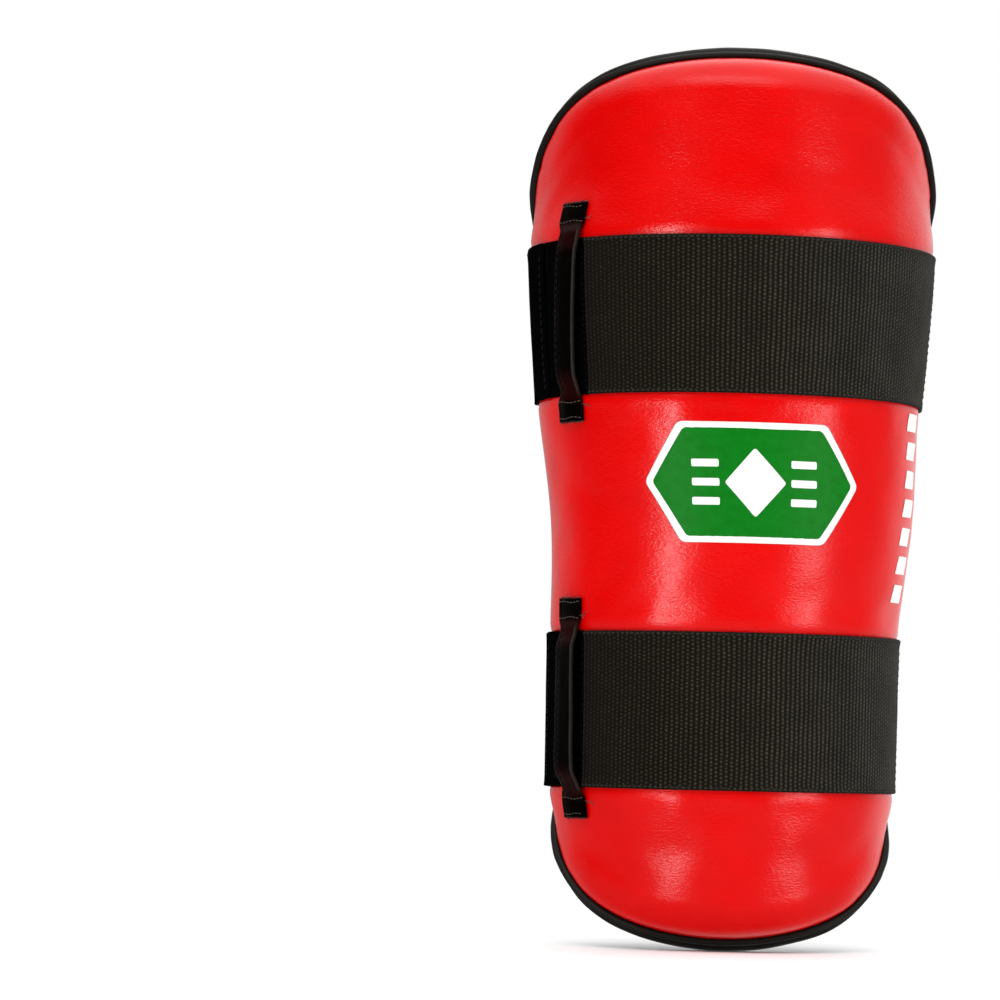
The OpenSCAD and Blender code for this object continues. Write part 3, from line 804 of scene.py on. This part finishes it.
def outer_cover():
    """The red skin: rolled edge, small puckers at the seam, pressed under the straps."""
    def shape(share, below=0.0, pucker=0.0):
        def height(u, z, at):
            full = cover_h(u, z) - BASE_H
            waves = soft_noise(at, 0 * at, 5.5, 1) + 0.6 * soft_noise(at, 0 * at, 2.6, 2)
            return BASE_H + share * full - below + pucker * waves
        return height

    turn = np.linspace(0, np.pi / 2, 15)
    edge_spec = [(COVER_IN, 1 - np.cos(a), 1,
                  shape(np.sin(a), 0, 0.3 * np.cos(a) * abs(np.sin(2 * a)) ** 0.5)) for a in turn]
    edge_spec[0] = (COVER_IN + 0.05, 0, 1, flat(BASE_H + 0.05))
    beyond = [(COVER_IN + d, 1, 1, shape(1, 0, 0.05 / (1 + d))) for d in (0.6, 1.3, 2.1, 3.0)]
    inner = [(COVER_IN + 4, 1, k, shape(1)) for k in (1.0, *INNER)]
    back = [(COVER_IN + 4, 1, k, shape(1, 1.0)) for k in np.linspace(0.05, 1.0, 20)]
    back += [(2.5, 1 - np.cos(a), 1, shape(np.sin(a), 1.0 * np.sin(a))) for a in turn[::-2]]
    back[-1] = (2.3, 0, 1, flat(BASE_H + 0.05))
    return layer("outer_cover", 380, back + edge_spec + beyond + inner)


def impact_foam():
    def shape(share):
        return lambda u, z, at: BASE_H + share * (cover_h(u, z) - BASE_H - COVER_TOP - 0.5)
    turn = np.linspace(0, np.pi / 2, 7)
    inner = np.linspace(0.95, 0.05, 14)
    spec = [(DEEP, 0, k, flat(BASE_H + 0.1)) for k in inner[::-1]]
    spec += [(2.8, 1 - np.cos(a), 1, shape(np.sin(a)) if a else flat(BASE_H + 0.1)) for a in turn]
    spec += [(4.5, 1, k, shape(1)) for k in (1.0, *inner)]
    return layer("impact_foam", 160, spec)


def comfort_foam():
    inner = np.linspace(0.95, 0.05, 14)
    spec = [(DEEP, 0, k, flat(1.2)) for k in inner[::-1]]
    side = [(8, 1.2), (-1.2, 1.3), (-1.45, 2.6), (-1.2, 4.3), (4.4, 4.9), (5, 5.8)]
    spec += [(inset, 0, 1, flat(height)) for inset, height in side]
    spec += [(DEEP, 0, k, flat(5.8)) for k in (1.0, *inner)]
    return layer("comfort_foam", 160, spec)


def arm_lining():
    """The cloth against the arm: puffed between the binding, with soft lengthwise creases."""
    def puff(d_in, amount=1.0):
        def height(u, z, at):
            s = u * reach(z)
            crease = np.exp(-(((s + 9 * soft_noise(z, 0 * z, 60, 5)) % 26 - 13) / 1.9) ** 2)
            slow = 0.35 * soft_noise(s, z, 16, 6)
            swell = amount * (1.0 - 0.35 * crease * strength(z) + slow)
            return 0.1 - np.maximum(0.0, swell) * smooth(d_in / 9) + from_table("lining", u, z)
        return height

    def strength(z):
        return 0.5 + 0.5 * np.sin(z / 23.0) ** 2

    near = [(d, 0, 1, puff(d - 6.5)) for d in (6.5, 7.5, 8.2, 9, 10, 11.2, 12.4)]
    inner = [(DEEP, 0, k, puff(DEEP - 6.5 + 60 * (1 - k))) for k in (1.0, *INNER)]
    side = [(0, 0.05), (-0.9, 0.15), (-1.4, 0.6), (-0.9, 1.0)]
    rim = [(inset, 0, 1, flat(height)) for inset, height in side]
    top = [(DEEP, 0, k, flat(1.0)) for k in (1.0, 0.8, 0.55, 0.3, 0.1)]
    spec = inner[::-1] + near[::-1] + rim + top
    return layer("arm_lining", 360, spec)


def swept(name, count, profile):
    """A strip carried round the rim. profile is a closed list of (inset, height) calls of at."""
    u0, z0, nu, nz, at = edge(count)
    loops = []
    for d_call, h_call in profile:
        d, h = d_call(at), h_call(at)
        loops.append(surf(u0 - d * nu / reach(z0), z0 - d * nz, h))
    points = np.stack(loops, 1)
    m, n = points.shape[:2]
    coords = np.stack([np.repeat(at, n), np.tile(np.arange(n), m)], -1)
    return make_mesh(name, points.reshape(-1, 3), flipped(grid_faces(m, n, True, True)), coords)


def rim_binding():
    """The binding tape: a soft U over the edge with a pull at every stitch."""
    outline = [(8, -0.95), (7.6, -1.05), (6.9, -0.9), (6.4, -0.78), (5.9, -0.9), (4.6, -1.1), (2.6, -1.1),
               (0.8, -1.05), (-0.6, -0.95), (-1.6, -0.55), (-2.25, 0.2), (-2.58, 1.3), (-2.6, 2.6),
               (-2.55, 3.8), (-2.2, 4.9), (-1.5, 5.65), (-0.6, 5.95), (0.9, 5.95), (3.6, 5.9),
               (3.6, 5.1), (0.8, 5.1), (-0.9, 5.05), (-1.6, 4.4), (-1.75, 2.6), (-1.65, 0.8), (-1.1, 0.0),
               (1.2, -0.15), (4.5, -0.15), (8, -0.15)]
    profile = []
    for d, h in outline:
        outside = h < -0.3 or d < -1.9
        pull = 0.16 if h < -0.3 and d > 3 else 0.0
        drift = 0.22 if outside else 0.0
        profile.append((
            lambda at, d=d, drift=drift: d + drift * soft_noise(at, 0 * at, 9, 8) * (1 if d < 5 else 1.6),
            lambda at, h=h, pull=pull, drift=drift: h + pull * np.cos(2 * np.pi * at / RIM_STITCH)
            + 0.6 * drift * soft_noise(at, 0 * at, 6, 9)))
    return swept("rim_binding", 1000, profile)


def edge_piping():
    """The thin covered cord between the cover and the binding."""
    profile = []
    for a in np.linspace(0, 2 * np.pi, 12, endpoint=False):
        profile.append((
            lambda at, a=a: 0.25 - (0.95 + 0.05 * soft_noise(at, 0 * at, 3, 11)) * math.sin(a),
            lambda at, a=a: BASE_H + 1.05 - (0.95 + 0.05 * soft_noise(at, 0 * at, 3, 11)) * math.cos(a)
            + 0.12 * soft_noise(at, 0 * at, 8, 12)))
    return swept("edge_piping", 900, profile)


def rim_threads():
    """One row of stitches on the arm side of the binding."""
    u0, z0, nu, nz, _ = edge(1400)
    u, z = u0 - RIM_ROW_IN * nu / reach(z0), z0 - RIM_ROW_IN * nz
    path = surf(u, z, -0.9)
    inside = surf(u, z, 0) - path
    bundle = Bundle()
    stitch_row(bundle, path, -inside / np.linalg.norm(inside, axis=1)[:, None], RIM_STITCH, 2.5, 0.24)
    return bundle.make("rim_stitching")


def make_shell():
    cover = finish_piece(outer_cover(), "cover_red", nodes=["outer_cover"])
    core = finish_piece(impact_foam(), "foam_pale", nodes=["impact_foam"])
    back = finish_piece(comfort_foam(), "foam_grey", nodes=["comfort_foam"])
    lining = finish_piece(arm_lining(), "lining", nodes=["arm_lining"])
    finish_piece(rim_binding(), "binding", nodes=["rim_binding"])
    finish_piece(edge_piping(), "binding", nodes=["edge_piping"])
    finish_piece(rim_threads(), "thread_black", nodes=["rim_stitching"])


# ---------------------------------------------------------------- printed films
def film(name, outline, u0, z0, lift, thick, steps, slot, nodes):
    """A thin printed shape: outline is (n, 2) millimetres about u0, z0; rounded at its edge."""
    outline = np.asarray(outline, float)

    def at(k, h):
        z = z0 + k * outline[:, 1]
        u = u0 + k * outline[:, 0] / outer_reach(z0)
        return surf(u, z, cover_h(u, z) + h), np.stack([u * outer_reach(z), z], -1)

    spec = [(k, lift) for k in np.linspace(0.1, 0.98, steps)] + [(1.0, lift + 0.4 * thick)]
    spec += [(0.99, lift + 0.8 * thick)] + [(k, lift + thick) for k in np.linspace(0.975, 0.1, steps)]
    rings, coords = zip(*(at(k, h) for k, h in spec))
    u, z = np.array([u0]), np.array([z0])
    lo, hi = surf(u, z, cover_h(u, z) + lift), surf(u, z, cover_h(u, z) + lift + thick)
    piece = disc(name, np.array(rings), np.array(coords), lo, hi, np.array([[u0 * outer_reach(z0), z0]]))
    return finish_piece(piece, slot, nodes=nodes)


def rounded(corners, radius, arc=6, side=10):
    """A polygon with round corners, as an (n, 2) list."""
    corners = np.array(corners, float)
    back, ahead = np.roll(corners, 1, 0) - corners, np.roll(corners, -1, 0) - corners
    back /= np.linalg.norm(back, axis=1)[:, None]
    ahead /= np.linalg.norm(ahead, axis=1)[:, None]
    cut = radius / np.tan(np.arccos((back * ahead).sum(1)) / 2)[:, None]
    starts, ends = corners + back * cut, corners + ahead * cut
    out = []
    for a, corner, b, following in zip(starts, corners, ends, np.roll(starts, -1, 0)):
        out += [(1 - t) ** 2 * a + 2 * t * (1 - t) * corner + t**2 * b for t in np.linspace(0, 1, arc)]
        out += [b + (following - b) * t for t in np.linspace(0, 1, side + 2)[1:-1]]
    return out


def make_prints():
    """The badge and the side marks: plain shapes in place of any lettering."""
    badge_u, badge_z, half_a, half_b, rim = 0.05, 148, 33, 19, 2.4

    def hexagon(a, b):
        return [(a, 0), (0.66 * a, b), (-0.66 * a, b), (-a, 0), (-0.66 * a, -b), (0.66 * a, -b)]

    film("badge_border", rounded(hexagon(half_a, half_b), 3), badge_u, badge_z, 0.05, 0.16, 9,
         "print_white", ["badge_border"])
    film("badge_field", rounded(hexagon(half_a - rim, half_b - 0.8 * rim), 2.2), badge_u, badge_z,
         0.13, 0.16, 9, "print_green", ["badge_field"])
    rhomb = [(9, 0), (0, 11), (-9, 0), (0, -11)]
    film("badge_motif", rounded(rhomb, 0.8), badge_u, badge_z, 0.23, 0.14, 4,
         "print_white", ["badge_motif"])
    bar = [(4, -1.2), (4, 1.2), (-4, 1.2), (-4, -1.2)]
    for side, letter in ((-1, "l"), (1, "r")):
        u = badge_u + side * 14.5 / outer_reach(badge_z)
        for j in (-1, 0, 1):
            film(f"badge_bar_{letter}{j + 1}", rounded(bar, 0.5, 4, 4), u, badge_z + 6 * j, 0.23, 0.14, 3,
                 "print_white", [])
    for i in range(7):
        z = badge_z - 5 + 9.2 * (i - 3)
        slant = [(4, -2.9), (5.4, 2.9), (-4, 2.9), (-5.4, -2.9)]
        film(f"side_mark_{i}", rounded(slant, 0.5, 4, 5), 0.735, z, 0.06, 0.14, 4, "print_white",
             ["side_marks"] if i == 0 else [])


# ---------------------------------------------------------------- straps
def cross_section(width, thick, rows, selvage=0.0):
    """Half of a strap's outline: positions across, and share of the thickness there."""
    w = width / 2 - EDGE_ROUND * (1 - np.cos(np.linspace(0, np.pi / 2, 6)))
    w = np.concatenate([-w, np.linspace(-width / 2 + 1.2, width / 2 - 1.2, rows), w[::-1]])
    from_edge = width / 2 - np.abs(w)
    full = np.sqrt(np.clip(1 - (1 - np.minimum(from_edge / EDGE_ROUND, 1)) ** 2, 0.04, 1))
    bead = selvage * np.exp(-((from_edge - 0.95) / 0.45) ** 2)
    return w, full * thick / 2, bead


def strip(name, mid, normal, along, w, half, bead, ribs=0.0, seed=0, fray=0.0):
    """A webbing solid. mid and normal are (station, across, 3); half is half the thickness."""
    wave = 0.10 * soft_noise(along[:, None] + 0 * w, 0 * along[:, None] + w, 7, seed)
    rib = ribs * (np.abs(np.sin(np.pi * along / RIB_PITCH)) - 0.5)[:, None] * (half / half.max())
    outer = mid + normal * (half + bead + rib + wave)[..., None]
    inner = mid + normal * (-half - 0.4 * bead + wave)[..., None]
    if fray:
        jitter = fray * soft_noise(along[:, None] + 0 * w, 0 * along[:, None] + w, 1.1, seed + 1)
        inside = 1 - smooth((STRAP_W / 2 - np.abs(w)) / 1.0)
        outer[..., 2] += jitter * inside
        inner[..., 2] += jitter * inside
    loops = np.concatenate([outer, inner[:, ::-1]], axis=1)
    flat_w = np.concatenate([w, w[::-1]])
    coords = np.stack(np.broadcast_arrays(along[:, None], flat_w[None, :]), -1)
    return make_mesh(name, loops.reshape(-1, 3), strip_faces(*loops.shape[:2]), coords.reshape(-1, 2))


def shell_strip(name, which, u_from, u_to, lift, thick, step, rows, **looks):
    """Webbing that lies on the cover from u_from to u_to."""
    zc = STRAP_Z[which]
    w, half, bead = cross_section(STRAP_W, thick, rows, looks.pop("selvage", 0.0))
    length = abs(u_to - u_from) * float(outer_reach(zc))
    n = max(8, int(length / step * QUICK))
    u = np.linspace(u_from, u_to, n)
    along = (u - u_from) * float(outer_reach(zc))
    uu, zz = u[:, None] + 0 * w, zc + w + 0 * u[:, None]
    base = surf(uu, zz, cover_h(uu, zz) + lift)
    above = surf(uu, zz, cover_h(uu, zz) + lift + thick)
    normal = (above - base) / thick
    return strip(name, base + normal * thick / 2, normal, along, w, half, bead, **looks)


def resampled(points, count):
    """points (n, 2) walked again in count equal steps, with the length walked."""
    along = np.concatenate([[0], np.cumsum(np.hypot(*np.diff(points, axis=0).T))])
    at = np.linspace(0, along[-1], count)
    return np.stack([np.interp(at, along, points[:, c]) for c in (0, 1)], 1), at


def softened(points, count, radius):
    """points resampled and with their corners rounded off over about radius."""
    even, at = resampled(points, 4 * count)
    step = at[1]
    k = max(1, int(radius / step))
    window = np.hanning(2 * k + 3)[1:-1]
    window /= window.sum()
    padded = np.vstack([2 * even[0] - even[k:0:-1], even, 2 * even[-1] - even[-2:-k - 2:-1]])
    rounded_off = np.stack([np.convolve(padded[:, c], window, "valid") for c in (0, 1)], 1)
    return resampled(rounded_off, count)


def plan_normals(points):
    """Unit normals to the right of the direction of travel, in plan."""
    d = np.gradient(points, axis=0)
    d /= np.linalg.norm(d, axis=1)[:, None]
    return np.stack([d[:, 1], -d[:, 0]], 1)


def fold_at(which, side, z):
    where, direction = FOLD[which, side]
    return np.array([where.x + direction.x * (z - where.z), where.y + direction.y * (z - where.z)])


def across_fold(which, side):
    """Where a strap's bend starts and ends, in metres, either side of its fold line."""
    corner = fold_at(which, side, STRAP_Z[which])
    turn = np.array([-5.0, 6.0 if side == "right" else -6.0]) * 0.8
    return [(x * MM, y * MM, STRAP_Z[which] * MM) for x, y in (corner - turn / 2, corner + turn / 2)]


def behind(which, z, offset, count=60):
    """Plan of the closed strap behind the arm, from the right fold to the left one."""
    a, b = fold_at(which, "right", z), fold_at(which, "left", z)
    s = np.linspace(0, 1, count)[:, None]
    line = a + (b - a) * s
    line[:, 1] += (4 * TAIL_BOW * s * (1 - s))[:, 0]
    return line + offset * plan_normals(line)


def plan_strip(name, which, plan, thick, step, rows, radius, **looks):
    """Webbing that stands along a plan curve; plan(z) gives the curve at each height."""
    zc = STRAP_Z[which]
    w, half, bead = cross_section(STRAP_W, thick, rows, looks.pop("selvage", 0.0))
    _, walked = softened(plan(zc), 50, radius)
    n = int(walked[-1] / step * QUICK)
    columns, normals = [], []
    for offset in w:
        points, _ = softened(plan(zc + offset), n, radius)
        columns.append(np.column_stack([points, np.full(n, zc + offset)]))
        normals.append(np.column_stack([plan_normals(points), np.zeros(n)]))
    mid, normal = np.stack(columns, 1), np.stack(normals, 1)
    along = np.linspace(0, walked[-1], n) + looks.pop("start", 0.0)
    return strip(name, mid, normal, along, w, half, bead, **looks)


def wall_plan(u, z, h):
    return surf(u, z, cover_h(u, z) + h)[:, :2]


def elastic_front(which, seed):
    piece = shell_strip(f"{which}_elastic_front", which, JOIN_U[which], SEAM_U, -PRESS_IN, ELASTIC_T,
                        WEAVE_STEP, WEAVE_ROWS, ribs=0.1, seed=seed, selvage=0.12)
    return finish_piece(piece, "elastic", nodes=[f"{which}_elastic_front"])


def elastic_tail(which, seed):
    """The elastic from the rim seam round the corner and behind the arm."""
    zc = STRAP_Z[which]
    lift = ELASTIC_T / 2 - PRESS_IN

    def plan(z):
        wall = wall_plan(np.linspace(SEAM_U, 1.03, 8), z, lift)
        wall[:, 0] += np.linspace(0, 1, 8) ** 2 * (fold_at(which, "right", z)[0] - wall[-1, 0])
        tail = behind(which, z, 0.0)
        return np.vstack([wall, tail[:-1]])

    start = (SEAM_U - JOIN_U[which]) * float(outer_reach(zc))
    piece = plan_strip(f"{which}_elastic_tail", which, plan, ELASTIC_T, WEAVE_STEP, WEAVE_ROWS, 5.0,
                       ribs=0.1, seed=seed, selvage=0.12, start=start)
    finish_piece(piece, "elastic", body=None, nodes=[f"{which}_elastic_tail"])
    start, end = across_fold(which, "right")
    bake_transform(piece)
    return piece


def loop_tape(which, seed):
    """Loop pile at the left end of the strap, down the left wall."""
    piece = shell_strip(f"{which}_loop_tape", which, -1.025, JOIN_U[which], -PRESS_IN, LOOP_T, 0.45, 90,
                        seed=seed, fray=0.35)
    mesh = piece.data
    count = len(mesh.vertices)
    points = np.empty(count * 3)
    mesh.vertices.foreach_get("co", points)
    points = points.reshape(-1, 3)
    mesh.update()
    normals = np.empty(count * 3)
    mesh.vertex_normals.foreach_get("vector", normals)
    normals = normals.reshape(-1, 3)
    rng = np.random.default_rng(seed)
    points += normals * MM * 0.22 * (rng.random(count)[:, None] - 0.35)
    mesh.vertices.foreach_set("co", points.ravel())
    return finish_piece(piece, "loop_pile", nodes=[f"{which}_loop_tape"])


def strap_tab(which, seed):
    """Nylon tab: sewn on the end of the elastic, round the left rim, down onto the loop tape."""
    outside = ELASTIC_T / 2 + TAB_T / 2 + 0.1

    def plan(z):
        keep = behind(which, z, outside)[-9:-1]
        wall = wall_plan(np.linspace(-1.05, TAB_U, 24), z, TAB_MID)
        return np.vstack([keep, wall])

    piece = plan_strip(f"{which}_strap_tab", which, plan, TAB_T, 0.3, 20, 4.0, seed=seed)
    finish_piece(piece, "tab_nylon", body=None, nodes=[f"{which}_strap_tab"])
    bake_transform(piece)
    return piece


def hook_patch(which, seed):
    """Hook tape inside the tab: a backing with rows of small hooks."""
    zc = STRAP_Z[which]
    bundle = Bundle()
    u = np.linspace(-0.975, TAB_U - 0.012, 40)
    z = np.linspace(zc - 22.5, zc + 22.5, 12)
    uu, zz = np.meshgrid(u, z, indexing="ij")
    top = surf(uu, zz, cover_h(uu, zz) + TAB_MID - TAB_T / 2 - 0.03)
    low = surf(uu, zz, cover_h(uu, zz) + TAB_MID - TAB_T / 2 - 0.2)
    loops = np.concatenate([top, low[:, ::-1]], axis=1)
    bundle.add(loops.reshape(-1, 3), strip_faces(*loops.shape[:2]))
    rng = random.Random(seed)
    for u0 in np.linspace(-0.965, TAB_U - 0.02, 17):
        for z0 in np.linspace(zc - 21.5, zc + 21.5, 30):
            a = u0 + rng.uniform(-0.002, 0.002)
            b = z0 + rng.uniform(-0.2, 0.2)
            h = float(cover_h(np.array(a), np.array(b))) + TAB_MID - TAB_T / 2 - 0.15
            path = surf([a, a, a + 0.004], [b, b, b + 0.1], [h, h - 0.2, h - 0.3])
            bundle.add(*tube(path, np.array([0.14, 0.11, 0.16]), 4))
    piece = bundle.make(f"{which}_hook_patch")
    return finish_piece(piece, "hook_tape", body=f"{which}_tab", nodes=[f"{which}_hook_patch"])


def upright_row(bundle, point, w_span, pitch, length, radius=0.22):
    """A row of stitches across a strap; point(w) gives place and outward normal."""
    w = np.linspace(*w_span, 60)
    path, normal = point(w)
    stitch_row(bundle, path, normal, pitch, length, radius)


def on_cover(u, zc, lift):
    def point(w):
        z = zc + w
        uu = np.full_like(w, u)
        low = surf(uu, z, cover_h(uu, z) + lift)
        high = surf(uu, z, cover_h(uu, z) + lift + 1)
        return low, high - low
    return point


def make_straps():
    for k, which in enumerate(STRAP_Z):
        elastic_front(which, 20 + k)
        elastic_tail(which, 20 + k)
        loop_tape(which, 24 + k)
        strap_tab(which, 26 + k)
        hook_patch(which, 28 + k)
    anchors = Bundle()
    for which, zc in STRAP_Z.items():
        for u in (JOIN_U[which] - 0.014, JOIN_U[which] + 0.014):
            lift = 1.45 if u > JOIN_U[which] else 0.85
            upright_row(anchors, on_cover(u, zc, lift), (-ROW_HALF, ROW_HALF), 2.2, 1.5, 0.13)
        for u in (SEAM_U - 0.018, SEAM_U, SEAM_U + 0.018):
            upright_row(anchors, on_cover(u, zc, 1.5), (-ROW_HALF, ROW_HALF), 2.4, 1.8, 0.24)
    finish_piece(anchors.make("strap_stitches"), "thread_black", nodes=["strap_stitches"])
    for which, zc in STRAP_Z.items():
        rows = Bundle()
        for u in (-0.955, TAB_U - 0.03):
            upright_row(rows, on_cover(u, zc, TAB_MID + TAB_T / 2), (-22.5, 22.5), 2.6, 2.0)
        piece = rows.make(f"{which}_tab_stitches")
        finish_piece(piece, "thread_black", body=f"{which}_tab", nodes=[f"{which}_tab_stitches"])


# ---------------------------------------------------------------- keepers
def keeper_point(which, z, across, up):
    """A point of a keeper: z from its middle, across and up as shares of its width and thickness."""
    zc = STRAP_Z[which]
    from_end = KEEPER_HALF - np.abs(z)
    on_bridge = smooth((from_end - FOOT + 1) / 4)
    rise = KEEPER_ARCH[which] * smooth((from_end - FOOT + 0.8) / 10)
    if which == "lower":
        rise = rise * (1 - 0.25 * z / KEEPER_HALF)
    wide = KEEPER_W + FOOT_WIDER * (1 - on_bridge)
    thick = KEEPER_T * (0.8 + 0.2 * on_bridge)
    sway = 0.35 * np.sin(z / KEEPER_HALF * 2.6 + len(which)) * on_bridge - FOOT_SHIFT * (1 - on_bridge)
    height = zc + z + KEEPER_RAISED[which]
    u = KEEPER_U[which] + KEEPER_TILT[which] * z + (across * wide + sway) / outer_reach(height)
    crumple = 0.16 * soft_noise(across * wide, z / 3, 3.2, 41 + zc)
    # the bridge leans back so that its folded edge stands highest
    tip = 0.5 * (across + 0.5) * on_bridge
    return surf(u, height, cover_h(u, height) + 0.1 + rise + up * thick + crumple + tip)


def keeper(which):
    """A folded leather strip over the strap, sewn down at both ends, with raw cut edges."""
    # outline of the folded strip: across, up; the fold is on the right, the slit on the left
    turn = np.linspace(-np.pi / 2, np.pi / 2, 11)
    outline = [(-0.5, 0.0), (-0.25, 0.0), (0.0, 0.0), (0.25, 0.0)]
    outline += [(0.42 + 0.08 * math.cos(a), 0.5 + 0.5 * math.sin(a)) for a in turn]
    outline += [(0.3, 0.96), (0.1, 0.95), (-0.1, 0.96), (-0.3, 0.97), (-0.36, 0.9), (-0.43, 0.98),
                (-0.48, 0.95), (-0.5, 0.86), (-0.5, 0.62), (-0.2, 0.56), (0.3, 0.53), (0.3, 0.47),
                (-0.2, 0.44), (-0.5, 0.4)]
    outline = np.array(outline)
    z = np.linspace(-KEEPER_HALF, KEEPER_HALF, 150)[:, None]
    points = keeper_point(which, z, outline[:, 0] + 0 * z, outline[:, 1] + 0 * z)
    m, n = points.shape[:2]
    faces = grid_faces(m, n, wrap_cols=True)
    faces.append(tuple(range(n - 1, -1, -1)))
    faces.append(tuple((m - 1) * n + i for i in range(n)))
    coords = np.stack([z + 0 * outline[:, 0], KEEPER_W * outline[:, 0] + 0 * z], -1).reshape(-1, 2)
    piece = make_mesh(f"{which}_keeper", points.reshape(-1, 3), faces, coords)
    finish_piece(piece, "keeper_leather", nodes=[f"{which}_keeper"])


def keeper_trim():
    """Stitches, frayed ends and loose threads of the two keepers."""
    rows, long_rows, fray = Bundle(), Bundle(), Bundle()
    rng = random.Random(5)
    for which in STRAP_Z:
        z = np.linspace(-KEEPER_HALF + FOOT + 1, KEEPER_HALF - FOOT - 1, 90)
        low = keeper_point(which, z, -0.36, 1.0)
        stitch_row(long_rows, low, keeper_point(which, z, -0.36, 1.5) - low, 2.3, 1.6, 0.13)
        for end in (-1, 1):
            for inset in (0.9, 5.9):
                across = np.linspace(-0.46, 0.46, 40)
                z = end * (KEEPER_HALF - inset - 0.5 * np.sin(across * 4 + inset) ** 2) + 0 * across
                low = keeper_point(which, z, across, 1.05)
                stitch_row(rows, low, keeper_point(which, z, across, 1.6) - low, 1.7, 1.2, 0.15)
            for _ in range(90):
                across = rng.uniform(-0.52, 0.5)
                up = rng.uniform(0.05, 0.95)
                steps = np.linspace(0, 1, 4)
                length = rng.uniform(0.2, 1.0)
                drift = rng.uniform(-0.06, 0.06)
                lift = rng.uniform(-0.1, 0.35)
                z = end * (KEEPER_HALF + length * steps - 0.25)
                path = keeper_point(which, z, across + drift * steps**2, up + lift * steps**2)
                fray.add(*tube(path, np.array([0.1, 0.09, 0.07, 0.04]), 4))
            for _ in range(3):
                steps = np.linspace(0, 1, 9)
                span = rng.uniform(0.12, 0.3)
                bend = rng.uniform(-1.4, 1.4)
                z = end * (KEEPER_HALF - 5.4) + bend * steps**2
                path = keeper_point(which, z, 0.5 + span * steps, 0.9 - 0.5 * steps**2)
                fray.add(*tube(path, 0.09, 5))
    finish_piece(rows.make("keeper_stitches"), "thread_grey", nodes=["keeper_stitches"])
    finish_piece(long_rows.make("keeper_long_stitches"), "thread_dim")
    finish_piece(fray.make("keeper_fray"), "thread_dark")


def make_keepers():
    keeper("upper")
    keeper("lower")
    keeper_trim()


# ---------------------------------------------------------------- studio
TOP_LIGHT, RIGHT_LIGHT, LOW_LIGHT, RIM_LIGHT = 1.45, 0.25, 0.03, 1.0
# name, place, width and height, power
AREA_LIGHTS = [
    ("key_right", (1.0, -0.95, 0.10), (0.34, 0.34), 4.4),
    ("strip_left", (-0.74, -1.1, 0.02), (0.18, 0.16), 4.9),
    ("top", (-0.1, -0.9, 1.2), (1.2, 0.7), 6.0),
]
CAMERA_PLACE, CAMERA_LENS = (-0.0739, -1.465, 0.060), 161.3
CAMERA_PITCH, CAMERA_ROLL = 0.0573, 0.0234
FLOOR_RADIUS, FLOOR_SIDES = 900, 96


def area_light(name, place, size, power):
    """A light that faces the middle of the guard."""
    light = bpy.data.lights.new(name, "AREA")
    light.shape = "RECTANGLE"
    light.size, light.size_y = size
    light.energy = power
    made = add_object(name, light)
    made.location = place
    centre = Vector((0, -0.02, MID_Z * MM))
    made.rotation_euler = (centre - Vector(place)).to_track_quat("-Z", "Y").to_euler()


def studio_world():
    """A white room: bright above and behind, a little to the right, dark below and in front."""
    world = bpy.data.worlds.new("studio")
    g = Graph(world)
    x, y, z = g.split(g.node("TexCoord").outputs["Generated"])
    above = g.smooth_step(z, 0.3, 0.8, LOW_LIGHT, TOP_LIGHT)
    right = g.smooth_step(x, 0.3, 0.95, 0.0, RIGHT_LIGHT)
    beyond = g.smooth_step(y, 0.1, 0.7, 0.0, RIM_LIGHT) * g.smooth_step(x, -0.3, 0.4, 0.45, 1.0)
    level = above + right + beyond
    # the camera itself sees plain white
    seen = Value(g, g.node("LightPath").outputs["Is Camera Ray"])
    sky = g.tree.nodes["Background"]
    g.link(level * (1.0 - seen) + seen, sky.inputs["Strength"])
    sky.inputs["Color"].default_value = (1, 1, 1, 1)
    bpy.context.scene.world = world


def make_studio():
    studio_world()
    bpy.context.scene.view_settings.view_transform = "Standard"

    # a round floor
    turn = np.linspace(0, 2 * np.pi, FLOOR_SIDES, endpoint=False)
    rim = FLOOR_RADIUS * np.stack([np.cos(turn), np.sin(turn), 0 * turn], -1)
    faces = [(FLOOR_SIDES, i, (i + 1) % FLOOR_SIDES) for i in range(FLOOR_SIDES)]
    floor = make_mesh("floor", np.vstack([rim, [[0, 0, 0]]]), faces)
    g = new_material("floor_pale")
    speck = g.noise(g.place(), 0.02, 2.0)
    pale = g.mix(speck, (0.93, 0.93, 0.93), (0.96, 0.96, 0.96))
    floor.data.materials.append(g.finished(color=pale, rough=0.6, specular=0.2))
    # the leather mirrors the dark lower half of the room, not the floor
    floor.visible_glossy = False

    for light in AREA_LIGHTS:
        area_light(*light)

    camera = bpy.data.cameras.new("camera")
    camera.sensor_width = 36
    camera.lens = CAMERA_LENS
    made = add_object("camera", camera)
    made.location = CAMERA_PLACE
    look = Vector((0, math.cos(CAMERA_PITCH), math.sin(CAMERA_PITCH))).to_track_quat("-Z", "Y")
    made.rotation_mode = "QUATERNION"
    made.rotation_quaternion = look @ Quaternion((0, 0, 1), CAMERA_ROLL)
    bpy.context.scene.camera = made


settle_all()
make_shell()
make_prints()
make_straps()
make_keepers()
make_studio()
